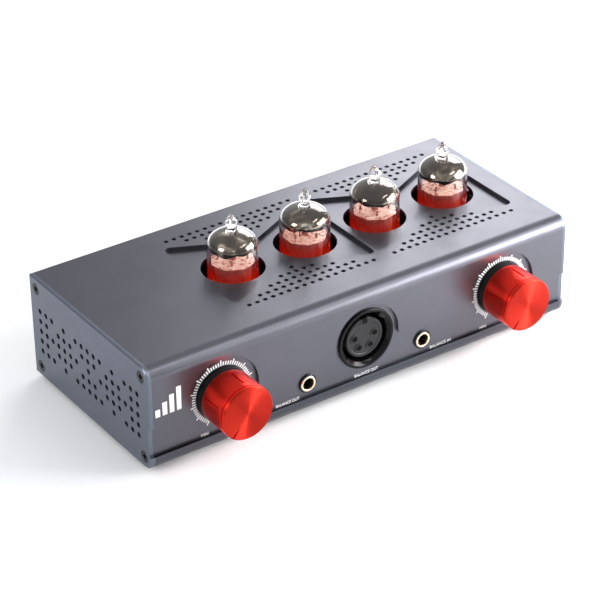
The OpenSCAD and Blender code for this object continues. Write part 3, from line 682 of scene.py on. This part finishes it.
def make_light():
    """Softboxes, and a sky that is brighter towards the top."""
    scene = bpy.context.scene
    scene.view_settings.view_transform = "Standard"
    world = bpy.data.worlds.new("studio")
    scene.world = world
    world.use_nodes = True
    tree = world.node_tree
    background = tree.nodes["Background"]
    fill(background, Color=(0.95, 0.97, 1.0, 1))
    split = tree.nodes.new("ShaderNodeSeparateXYZ")
    tree.links.new(tree.nodes.new("ShaderNodeTexCoord").outputs["Generated"], split.inputs[0])
    fade = tree.nodes.new("ShaderNodeMapRange")
    fill(fade, From_Max=0.7, To_Min=0.35, To_Max=0.75)
    tree.links.new(split.outputs["Z"], fade.inputs["Value"])
    tree.links.new(fade.outputs["Result"], background.inputs["Strength"])
    softbox("back_right", 132, 28, 0.50, (0.36, 0.30), 5.3, aim=(84, 25, 42))
    softbox("front_right", 55, 26, 0.36, (0.34, 0.22), 16.5, aim=(84, -65, 0))
    softbox("overhead", 35, 50, 0.8, (0.40, 0.10), 7)
    softbox("left", -85, 30, 0.7, (0.3, 0.3), 9, aim=(-120, 20, 0))


# ---- Case ----

smooth_copy("case_top", "top_shell", shell_metal)
smooth_copy("case_base", "base_plate", base_metal)
smooth_copy("case_back", "rear_panel", base_metal)
smooth_copy("plate_left", "end_plate_left", plate_metal)
smooth_copy("plate_right", "end_plate_right", plate_metal)


def screw(bm, head_r, socket_across, length, shank_r, middle_at=(0, 0), top=0.0):
    """A countersunk screw with a hexagonal socket."""

    def socket(angle):
        return hexagon(socket_across, angle)

    profile = [(AXIS_R, top - 1.2), (socket, top - 1.1), (socket, top - 0.1),
               (lambda a: socket(a) + 0.12, top), (head_r - 0.15, top), (head_r, top - 0.15),
               (shank_r, top - 0.2 - (head_r - shank_r)), (shank_r, top - length), (AXIS_R, top - length)]
    loft(bm, rings_of(profile, full_turn(72), middle_at), closed=True)


PLATE_SCREW_R = 2.25
PLATE_SCREW_Y = case_box("end_plate_screws")[1].y - PLATE_SCREW_R
PLATE_SCREW_Z = case_box("end_plate_screws")[0].z + PLATE_SCREW_R


def plate_screws():
    bm = bmesh.new()
    for side in (-1, 1):
        for y in (-PLATE_SCREW_Y, PLATE_SCREW_Y):
            for z in (PLATE_SCREW_Z, CASE_H - PLATE_SCREW_Z):
                part = bmesh.new()
                screw(part, PLATE_SCREW_R, 1.9, 8, 1.2)
                place = on_side(side, y, z)
                place.translation /= MM
                bmesh.ops.transform(part, matrix=place, verts=part.verts)
                join(bm, part)
    piece("plate_screws", bm, Matrix.Identity(4), "case", black_steel, ["end_plate_screws"])


def feet():
    low, high = case_box("rubber_feet")
    r = 5
    bm = bmesh.new()
    for x in (low.x + r, high.x - r):
        for y in (low.y + r, high.y - r):
            profile = [(0, 0), (r, 0), (r, -0.5), (r - 0.4, low.z), (1.6, low.z), (1.4, low.z + 0.8),
                       (0, low.z + 0.8)]
            lathe(bm, profile, turns=64, radius=0.35, middle_at=(x, y))
    piece("feet", bm, at(0, 0, 0), "case", rubber, ["rubber_feet"])


plate_screws()
feet()

# ---- Printing on the front ----

PRINT_FOOT, PRINT_T = 0.005, 0.03
TICK_NEAR, TICK_FAR, LONG_TICK_FAR, TICK_W = 10.9, 12.4, 13.2, 0.52
LABEL_H, LABEL_Z = 1.25, 6.75
LABELS = {
    "label_min_left": ("MIN", -71.2, -68.2), "label_max_left": ("MAX", -56.0, -52.7),
    "label_min_right": ("MIN", 53.0, 56.0), "label_max_right": ("MAX", 68.0, 71.3),
    "label_jack_left": ("BALANCE OUT", -39.4, -29.3), "label_socket": ("BALANCE OUT", -4.8, 5.7),
    "label_jack_right": ("BALANCE IN", 29.6, 39.2),
}


def knob_place(side):
    """Where a volume knob's axis meets the front panel."""
    return on_front(middle("knob_" + side).x, middle("knob_skirt_" + side).z)


def dial(side):
    """Printed scale round a volume knob: a tick every 5 degrees, and every fifth one longer."""
    bm = bmesh.new()
    for step in range(-30, 31):
        far = TICK_FAR if step % 5 else LONG_TICK_FAR
        spoke(bm, math.radians(90 - 5 * step), TICK_NEAR, far, TICK_W, (PRINT_FOOT, PRINT_T))
    piece("dial_" + side, bm, knob_place(side), "case", white_print)


def label(name, words, x0, x1):
    """Printed words between x0 and x1."""
    curve = bpy.data.curves.new(name, "FONT")
    curve.body = words
    curve.extrude = PRINT_T / 2
    curve.resolution_u = 4
    carrier = show(name + "_text", curve)
    mesh = evaluated_mesh(carrier)
    bpy.data.objects.remove(carrier)
    xs = [v.co.x for v in mesh.vertices]
    ys = [v.co.y for v in mesh.vertices]
    wide, tall = (x1 - x0) / (max(xs) - min(xs)), LABEL_H / (max(ys) - min(ys))
    lift = PRINT_T / 2 + PRINT_FOOT
    for v in mesh.vertices:
        v.co = Vector(((v.co.x - min(xs)) * wide, (v.co.y - min(ys)) * tall, v.co.z + lift))
    bm = bmesh.new()
    bm.from_mesh(mesh)
    bpy.data.meshes.remove(mesh)
    piece(name, bm, on_front(x0, LABEL_Z - LABEL_H / 2), "case", white_print)


def level_mark():
    """A plain level meter of rising bars on the raised part of the front."""
    bm = bmesh.new()
    step, wide, lowest, rise = 2.9, 1.9, 3.0, 2.2
    for i in range(4):
        slab(bm, (step * i, 0, PRINT_FOOT), (step * i + wide, lowest + rise * i, PRINT_T))
    piece("level_mark", bm, on_front(-90.0, 22.2, FRONT_Y), "case", white_print)


for side in SIDES:
    dial(side)
for name, (words, x0, x1) in LABELS.items():
    label(name, words, x0, x1)
level_mark()

# ---- Volume knobs ----

knob_low, knob_high = case_box("knob_left")
KNOB_R = (knob_high.x - knob_low.x) / 2
KNOB_FACE = PANEL_Y - knob_low.y
KNOB_BACK = PANEL_Y - knob_high.y
BORE_R = 3.2
# The pointer rests 140 degrees anticlockwise of straight up
POINTER = math.radians(90 + 140)
GROOVES = 5
GROOVE_DEPTH = 0.5
# Half the angle that a groove takes up at its rim and at its floor, and the step between grooves
GROOVE_RIM, GROOVE_FLOOR, PLAIN_STEP = 2.1, 1.8, 1.4


def knob_turn():
    """Angles round a knob, and whether each one is in a groove and next to the pointer."""
    turn = []
    across = ((-GROOVE_RIM, False), (-GROOVE_FLOOR, True), (0.0, True), (GROOVE_FLOOR, True),
              (GROOVE_RIM, False))
    plain = 360 / GROOVES - 2 * GROOVE_RIM
    steps = round(plain / PLAIN_STEP)
    for groove in range(GROOVES):
        start = POINTER + groove * 2 * math.pi / GROOVES
        for offset, deep in across:
            turn.append((start + math.radians(offset), deep, groove == 0))
        for i in range(1, steps):
            turn.append((start + math.radians(GROOVE_RIM + plain * i / steps), False, False))
    return turn


def knob(side):
    """A turned cap with a groove cut round its side, and grooves along it. One is the pointer's."""
    turn = knob_turn()
    r, face = KNOB_R, KNOB_FACE
    groove_ends = (KNOB_BACK + 1.2, face - 3.9)
    profile = soften([(BORE_R, KNOB_BACK), (r, KNOB_BACK), (r, groove_ends[0]), (r, groove_ends[1]),
                      (r, face - 1.9), (r - 0.45, face - 1.85), (r - 0.45, face - 1.45), (r, face - 1.4),
                      (r, face - 0.65), (r - 0.55, face), (6.6, face), (6.3, face), (3, face),
                      (AXIS_R, face)], 0.1)
    rings = []
    for p in profile:
        points = []
        for angle, deep, pointer in turn:
            radius, height = p
            if deep and groove_ends[0] + 0.05 < height < groove_ends[1] - 0.05 and radius > r - 0.1:
                radius -= GROOVE_DEPTH
            # The pointer goes on as a line in the face
            if deep and pointer and height > face - 1.3 and radius > 6.5:
                radius -= 0.3
                height -= 0.35
            points.append(Vector((*around(radius, angle), height)))
        rings.append(points)
    # Rows just inside the grooves' ends, so that the ends are steep
    for height in (groove_ends[0] + 0.2, groove_ends[1] - 0.2):
        index = next(i for i, row in enumerate(rings) if max(p.z for p in row) > height)
        radii = [r - GROOVE_DEPTH if deep else r for _, deep, _ in turn]
        rings.insert(index, [Vector((*around(s, a), height)) for s, (a, _, _) in zip(radii, turn)])
    bore = [ring(BORE_R, KNOB_BACK + 6, [a for a, _, _ in turn])]
    bm = bmesh.new()
    loft(bm, bore + rings)
    for front in bm.faces:
        front.material_index = int(front.calc_center_median().z > face - 0.4)
    piece("volume_knob_" + side, bm, knob_place(side), side + "_volume", [knob_red, knob_face],
          ["knob_" + side], smooth=28)


def knob_skirt(side):
    low, high = case_box("knob_skirt_" + side)
    r = (high.x - low.x) / 2
    near, far = PANEL_Y - high.y, PANEL_Y - low.y
    bm = bmesh.new()
    lathe(bm, [(7, near), (r, near), (r, far), (7, far)], closed=True, radius=0.2)
    piece("skirt_" + side, bm, knob_place(side), side + "_volume", black_plastic, ["knob_skirt_" + side])


for side in SIDES:
    knob(side)
    knob_skirt(side)

# ---- Round sockets ----


PHONES_ANGLES = (172, 236, 304, 368)
LINE_ANGLES = (38, 142, 270)
PHONES_LATCH_ANGLE = 50
LINE_LATCH_ANGLE = 90
CUP_R = 9.7
CONTACT_CIRCLE_R = 4.5


def contact_points(angles):
    return [around(CONTACT_CIRCLE_R, math.radians(a)) for a in angles]


def core(bm, angles):
    """Insulating core: a raised rim round each contact's well, a near-black disc a little way down each well
    as painted shade in the hole, and a near-black block as painted shade in the key slot.
    """
    r, top, well_r = 8.1, -0.4, 1.15
    lathe(bm, [(0, -15), (r, -15), (r, top - 0.3), (r - 0.3, top), (r - 1.2, top),
               (r - 1.5, top - 0.25), (0, top - 0.25)], radius=0.15)
    for point in contact_points(angles):
        lathe(bm, [(well_r, top - 3), (1.75, top - 3), (1.75, top + 0.02), (well_r, top + 0.02)],
              turns=40, radius=0.12, middle_at=point, closed=True)
    # Painted shade: a near-black disc closes each well 0.2 mm down, standing in for the dark hole
    for point in contact_points(angles):
        lathe(bm, [(0, top - 1), (well_r, top - 1), (well_r, top - 0.2), (0, top - 0.2)],
              turns=40, radius=0.05, middle_at=point, material=1)
    # Painted shade: a near-black block stands in for the dark key slot
    slab(bm, (-1.1, 5.9, -3), (1.1, 8.2, -0.3), material=1)


def phones_socket():
    """The round socket on the front: its ring, its core and its latch tab."""
    center = middle("phones_xlr_insert")
    bm = bmesh.new()
    lathe(bm, [(0, -16.5), (11, -16.5), (11, 0), (12.1, 0), (12.1, 0.7), (11.8, 1.0), (11.0, 1.0),
               (CUP_R, -0.3), (CUP_R, -15), (0, -15)], radius=0.18)
    place = on_front(center.x, center.z)
    shell = piece("phones_ring", bm, place, "case", gloss_black, ["phones_xlr_shell"])
    cut_pocket(shell, PHONES_LATCH_ANGLE, 9.45, (1.5, 3.2))
    bm = bmesh.new()
    core(bm, PHONES_ANGLES)
    slab(bm, (-2.0, 5.9, -2), (-1.1, 7.6, -0.25))
    slab(bm, (1.1, 5.9, -2), (2.0, 7.6, -0.25))
    core_piece = piece("phones_core", bm, place, "case", [insert_grey, socket_black],
                       ["phones_xlr_insert"])
    bevelled(core_piece, 0.08)
    bm = bmesh.new()
    slab(bm, (9.5, -1.5, -3), (10.9, 1.5, 1.4))
    turned_place = place @ Matrix.Rotation(math.radians(PHONES_LATCH_ANGLE), 4, "Z")
    tab = piece("phones_tab", bm, turned_place, "phones_latch", black_plastic, ["phones_xlr_latch"])
    bevelled(tab, 0.25, segments=3)


def jack(side):
    center = middle("jack_bush_" + side)
    bm = bmesh.new()
    lathe(bm, [(2.25, -4.9), (3.15, -4.9), (3.15, 0.75), (2.95, 1.0), (2.45, 1.0), (2.25, 0.8)],
          closed=True, radius=0.1, turns=96)
    piece("jack_ring_" + side, bm, on_front(center.x, center.z), "case", gold, ["jack_bush_" + side])


def jack_washers():
    bm = bmesh.new()
    for side in SIDES:
        center = middle("jack_bush_" + side)
        lathe(bm, [(3.25, 0.0), (3.7, 0.0), (3.7, 0.55), (3.55, 0.7), (3.25, 0.7)], closed=True,
              radius=0.08, turns=96, middle_at=(center.x, center.z))
    piece("jack_washers", bm, on_front(0, 0), "case", washer_black, ["jack_nuts"])


phones_socket()
jack("left")
jack("right")
jack_washers()

# ---- Rear sockets, switch and inlet ----

FLANGE_W, FLANGE_H, FLANGE_CORNER, FLANGE_T = 26, 31, 4, 1.6
FLANGE_SCREWS = ((-9.5, 12), (9.5, -12))


def flange_turn():
    """Angles round a flange, closer together at its corners."""
    inset = FLANGE_CORNER / 2
    corner = math.degrees(math.atan2(FLANGE_H / 2 - inset, FLANGE_W / 2 - inset))
    extra = [math.radians(base + sign * corner + d) for base, sign in ((0, 1), (0, -1), (180, 1), (180, -1))
             for d in range(-9, 10)]
    return sorted({round(a % (2 * math.pi), 4) for a in full_turn(120) + extra})


def flanged_shell(name, node):
    """Rectangular flange with a round cup through it."""

    def outline(inset):
        return lambda a: rounded_box(FLANGE_W - 2 * inset, FLANGE_H - 2 * inset, FLANGE_CORNER - inset, a)

    profile = [(11, 0), (outline(0), 0), (outline(0), FLANGE_T - 0.3), (outline(0.1), FLANGE_T - 0.1),
               (outline(0.35), FLANGE_T), (11.3, FLANGE_T), (11.2, FLANGE_T + 0.02), (10.4, FLANGE_T + 0.02),
               (9.9, FLANGE_T - 0.2), (CUP_R, FLANGE_T - 0.7), (CUP_R, -15), (AXIS_R, -15),
               (AXIS_R, -16.5), (11, -16.5)]
    bm = bmesh.new()
    loft(bm, rings_of(profile, flange_turn()), closed=True)
    return piece(name, bm, on_rear(middle(node).x, middle(node).z), "case", black_plastic, [node])


def input_latch(side, x, z):
    bm = bmesh.new()
    slab(bm, (-2.9, 11.0, -3), (2.9, 13.8, FLANGE_T + 0.6))
    for i in range(4):
        y = 11.6 + 0.5 * i
        slab(bm, (-2.2, y, FLANGE_T + 0.5), (2.2, y + 0.25, FLANGE_T + 0.6))
    made = piece("input_tab_" + side, bm, on_rear(x, z), side + "_input_latch", latch_metal,
                 ["line_in_latch_" + side])
    bevelled(made, 0.2, segments=2)


def rear_sockets():
    """Two sockets with latches for the inputs, and two cups with pins for the outputs."""
    center_z = middle("line_in_inserts").z
    inputs = {side: middle("line_in_shell_" + side).x for side in SIDES}
    outputs = {side: middle("line_out_shell_" + side).x for side in SIDES}
    for side, x in inputs.items():
        shell = flanged_shell("input_shell_" + side, "line_in_shell_" + side)
        cut_pocket(shell, LINE_LATCH_ANGLE, 10.9, (3, 6))
        input_latch(side, x, center_z)
    for side in outputs:
        flanged_shell("output_shell_" + side, "line_out_shell_" + side)
    cores, pins, screws = bmesh.new(), bmesh.new(), bmesh.new()
    for x in inputs.values():
        part = bmesh.new()
        core(part, LINE_ANGLES)
        join(cores, part, -x)
    for x in outputs.values():
        part = bmesh.new()
        for point in contact_points([-a for a in LINE_ANGLES]):
            lathe(part, [(0, -15), (1.2, -15), (1.2, -2.2), (0.5, -1.5), (0, -1.5)], turns=40,
                  middle_at=point)
        join(pins, part, -x)
    for x in [*inputs.values(), *outputs.values()]:
        for sx, sy in FLANGE_SCREWS:
            screw(screws, 2.6, 2.1, 7, 1.2, middle_at=(sx - x, sy), top=FLANGE_T + 0.08)
    place = on_rear(0, center_z)
    piece("input_cores", cores, place, "case", [insert_grey, socket_black], ["line_in_inserts"])
    piece("output_pins", pins, place, "case", gold, ["line_out_pins"])
    piece("socket_screws", screws, place, "case", black_steel, ["rear_screws"])


def power_switch():
    center = middle("toggle_nut")
    place = on_rear(center.x, center.z)

    def sides(inset):
        return lambda a: min(hexagon(8 - 2 * inset, a), 4.45 - inset)

    bm = bmesh.new()
    profile = [(3.05, 0), (sides(0), 0), (sides(0), 1.8), (sides(0.25), 2), (3.05, 2)]
    loft(bm, rings_of(profile, full_turn(96)), closed=True)
    piece("switch_nut", bm, place, "case", bright_steel, ["toggle_nut"])
    # The lever is drawn from its pivot, and tilted by its resting angle
    swing, pivot_h = math.radians(12), 3.5
    lever = Matrix.Translation((0, 0, pivot_h * MM)) @ Matrix.Rotation(swing, 4, "X")
    bm = bmesh.new()
    lathe(bm, [(0, -3.4), (1, -3.4), (1, -1.5), (1.7, -0.8), (1.9, 0), (1.7, 0.9), (1.2, 1.5), (1.2, 2.5),
               *round_end(1.6, 8.5)], turns=64, radius=0.1)
    piece("switch_lever", bm, place @ lever, "power_lever", bright_steel, ["toggle_lever"])


def power_inlet():
    center = middle("dc_pin")
    place = on_rear(center.x, center.z)

    def body(a):
        return rounded_box(9, 9, 0.3, a)

    bm = bmesh.new()
    profile = [(AXIS_R, -9.5), (2.85, -9.5), (2.85, 0.6), (3.05, 0.8), (3.85, 0.8), (4, 0.65), (4, -2),
               (body, -2.02), (body, -11), (AXIS_R, -11)]
    loft(bm, rings_of(profile, full_turn(96)), closed=True)
    piece("power_inlet", bm, place, "case", black_plastic, ["dc_inlet"])
    bm = bmesh.new()
    lathe(bm, [(0, -9.5), (1.05, -9.5), (1.05, -1), (0.65, -0.5), (0, -0.5)], turns=48)
    piece("inlet_pin", bm, place, "case", bright_steel, ["dc_pin"])


rear_sockets()
power_switch()
power_inlet()

# ---- Tubes: heights are measured from the bottom of the glass ----

TUBES = ("1", "2", "3", "4")
SHOULDER = GLASS_H - 12.8
DOME_H = 6.0
GLASS_T = 0.7
FILM_GAP, FILM_T = 0.06, 0.05
MICA_LOW, MICA_TOP, MICA_T = 7, 21.8, 0.45
# What stands between the mica discs
CAGE_Z = (MICA_LOW + 0.6, MICA_TOP - 0.2)
HOOP_R, HOOP_Z = 3.0, MICA_TOP + 4.2


def dome_profile(inset, top_angle=76):
    """The dome's side from its shoulder up, drawn inside the glass by inset."""
    steps = 14
    angles = [math.radians(top_angle * i / steps) for i in range(steps + 1)]
    return [((BULB_R - inset) * math.cos(a), SHOULDER + (DOME_H - inset) * math.sin(a)) for a in angles]


def waves_at(waves, angle):
    """The sum of some waves round a tube; each is a size, a start and a count per turn."""
    return sum(size * math.sin(count * angle + start) for size, start, count in waves)


def bulb(number, place, rng):
    """Blown glass with a solid, lumpy exhaust tip."""
    turn = full_turn(96)
    top = GLASS_H
    neck = [(1.75, top - 6.75), (1.5, top - 6.3), (1.45, top - 5.8), (1.75, top - 5.1), (2.1, top - 4.4),
            (2.25, top - 3.7), (2.1, top - 3.0), (1.7, top - 2.3), (1.25, top - 1.6), (0.85, top - 0.95),
            (0.5, top - 0.4), (0.25, top - 0.1), (AXIS_R, top)]
    outer = [(AXIS_R, 0.0), (BULB_R - 1.6, 0), (BULB_R - 0.5, 0.35), (BULB_R - 0.08, 1.2), (BULB_R, 2.5),
             (BULB_R, SHOULDER - 4), *dome_profile(0)]
    lumps = [(rng.uniform(0.05, 0.13), rng.uniform(0, 6.28), k) for k in (2, 3, 5)]
    lean = rng.uniform(0, 6.28)

    def lumpy(radius, share):
        return lambda a: radius * (1 + share * waves_at(lumps, a))

    rings = rings_of(outer, turn)
    for i, (r, h) in enumerate(neck):
        share = min(1.0, (i + 1) / 3)
        drift = 0.25 * max(0.0, (h - (top - 4.3)) / 4.3)
        rings.append(ring(lumpy(r, share), h, turn, around(drift, lean)))
    inner = [(AXIS_R, 2.0), (BULB_R - 2.2, 2.0), (BULB_R - GLASS_T, 3.4), (BULB_R - GLASS_T, SHOULDER - 4),
             *dome_profile(GLASS_T), (AXIS_R, SHOULDER + DOME_H - GLASS_T)]
    bm = bmesh.new()
    loft(bm, rings)
    loft(bm, rings_of(inner, turn)[::-1])
    made = piece("bulb_" + number, bm, place, "case", tube_glass, ["tube_glass_" + number], smooth=50)
    flip_inner(made)


def flip_inner(made):
    """Turns the normals of the inner wall towards the hollow, so that the glass is a solid wall."""
    bm = bmesh.new()
    bm.from_mesh(made.data)
    bm.normal_update()
    for island in patches_of(bm, lambda first, other: True):
        volume = sum(f.calc_center_median().dot(f.normal) * f.calc_area() for f in island)
        reach = max(v.co.xy.length for f in island for v in f.verts)
        outer = reach > (BULB_R - GLASS_T / 2) * MM
        if (volume > 0) != outer:
            bmesh.ops.reverse_faces(bm, faces=island)
    bm.to_mesh(made.data)
    bm.free()


def film(number, place, rng):
    """The getter's mirror inside the dome, with a wavy lower edge."""
    turn = full_turn(120)
    waves = [(rng.uniform(0.15, 0.5), rng.uniform(0, 6.28), k) for k in (2, 3, 5, 9)]

    def edge(a):
        return waves_at(waves, a)

    def layer(inset):
        wall_r = BULB_R - GLASS_T - inset
        rings = [[Vector((*around(wall_r, a), SHOULDER + 0.2 + edge(a) * 0.9 - 0.9)) for a in turn]]
        for i, (r, h) in enumerate(dome_profile(GLASS_T + inset, top_angle=80)):
            fade = max(0.0, 1 - i / 4)
            rings.append([Vector((*around(r, a), h + 0.45 * edge(a) * fade)) for a in turn])
        return rings

    bm = bmesh.new()
    loft(bm, layer(FILM_GAP) + layer(FILM_GAP + FILM_T)[::-1], closed=True)
    piece("mirror_" + number, bm, place, "case", getter_film, smooth=60)


def works(number, place, rng):
    """What stands inside a tube: two mica discs, a slotted screen, rods and the getter's hoop."""
    bm = bmesh.new()
    turn = full_turn(96)
    spin = rng.uniform(0, 6.28)

    def toothed(a):
        return 7.9 + (0.35 if math.cos(8 * a + spin) > 0.55 else 0.0)

    for z in (MICA_LOW, MICA_TOP):
        disc = [(AXIS_R, z), (toothed, z), (toothed, z + MICA_T), (AXIS_R, z + MICA_T)]
        loft(bm, rings_of(disc, turn), material=1)
    low, high = CAGE_Z
    lathe(bm, [(6.55, low), (6.75, low), (6.75, high), (6.55, high)], turns=96, radius=0)
    for i in range(4):
        angle = spin + i * math.pi / 2
        lathe(bm, [(0, 2.1), (0.42, 2.1), (0.42, MICA_TOP + 2.2), (0, MICA_TOP + 2.2)], turns=24, radius=0.1,
              middle_at=around(5.4, angle))
    for i in range(6):
        spoke(bm, spin + 0.4 + i * math.pi / 3, 6.6, 7.15, 0.7, CAGE_Z)
    lathe(bm, [(0, MICA_TOP), (1.3, MICA_TOP), (1.3, MICA_TOP + 1.4), (0, MICA_TOP + 1.4)], turns=40)
    hoop = []
    for a in full_turn(48):
        ahead = Vector((math.cos(a), math.sin(a), 0))
        wire_middle = ahead * HOOP_R + Vector((0, 0, HOOP_Z))
        hoop.append([wire_middle + ahead * 0.4 * math.cos(b) + Vector((0, 0, 0.4 * math.sin(b)))
                     for b in full_turn(12)])
    loft(bm, hoop, closed=True)
    lathe(bm, [(0, MICA_TOP), (0.3, MICA_TOP), (0.3, HOOP_Z), (0, HOOP_Z)], turns=16, radius=0.05,
          middle_at=around(HOOP_R, spin))
    piece("works_" + number, bm, place, "case", [tube_metal, mica], ["tube_cage_" + number])


def lamps():
    low, high = case_box("tube_lamps")
    bm = bmesh.new()
    r = 1.5
    for number in TUBES:
        center = middle("tube_glass_" + number)
        lathe(bm, [(0, low.z), (r + 0.3, low.z), (r + 0.3, low.z + 1), (r, low.z + 1.05),
                   *round_end(r, high.z - r)], turns=40, radius=0.08, middle_at=(center.x, center.y))
    piece("lamps", bm, at(0, 0, 0), "case", lamp, ["tube_lamps"])


for number in TUBES:
    rng = random.Random(40 + int(number))
    center = middle("tube_glass_" + number)
    place = at(center.x, center.y, GLASS_BASE)
    bulb(number, place, rng)
    film(number, place, rng)
    works(number, place, rng)
lamps()

# ---- CAD nodes that stay in view, with their materials ----

# tube_metal brings its painted red glow to the tube pins as well
KEPT = {
    "base_screws": black_steel, "set_screw_left": black_steel, "set_screw_right": black_steel,
    "board_standoffs": brass, "board_screws": bright_steel, "pot_nuts": bright_steel,
    "pot_shaft_left": bright_steel, "pot_shaft_right": bright_steel, "pot_left": bright_steel,
    "pot_right": bright_steel, "main_board": circuit_board, "filter_capacitors": capacitor,
    "relays": relay_case, "regulators": heat_sink, "tube_pins": tube_metal, "tube_sockets": socket_black,
    "jack_body_left": black_plastic, "jack_body_right": black_plastic, "xlr_contacts": gold,
    "toggle_body": switch_blue,
}
for node, material in KEPT.items():
    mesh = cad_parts[node].data
    mesh.materials.clear()
    mesh.materials.append(material)

make_camera()
make_floor()
make_light()
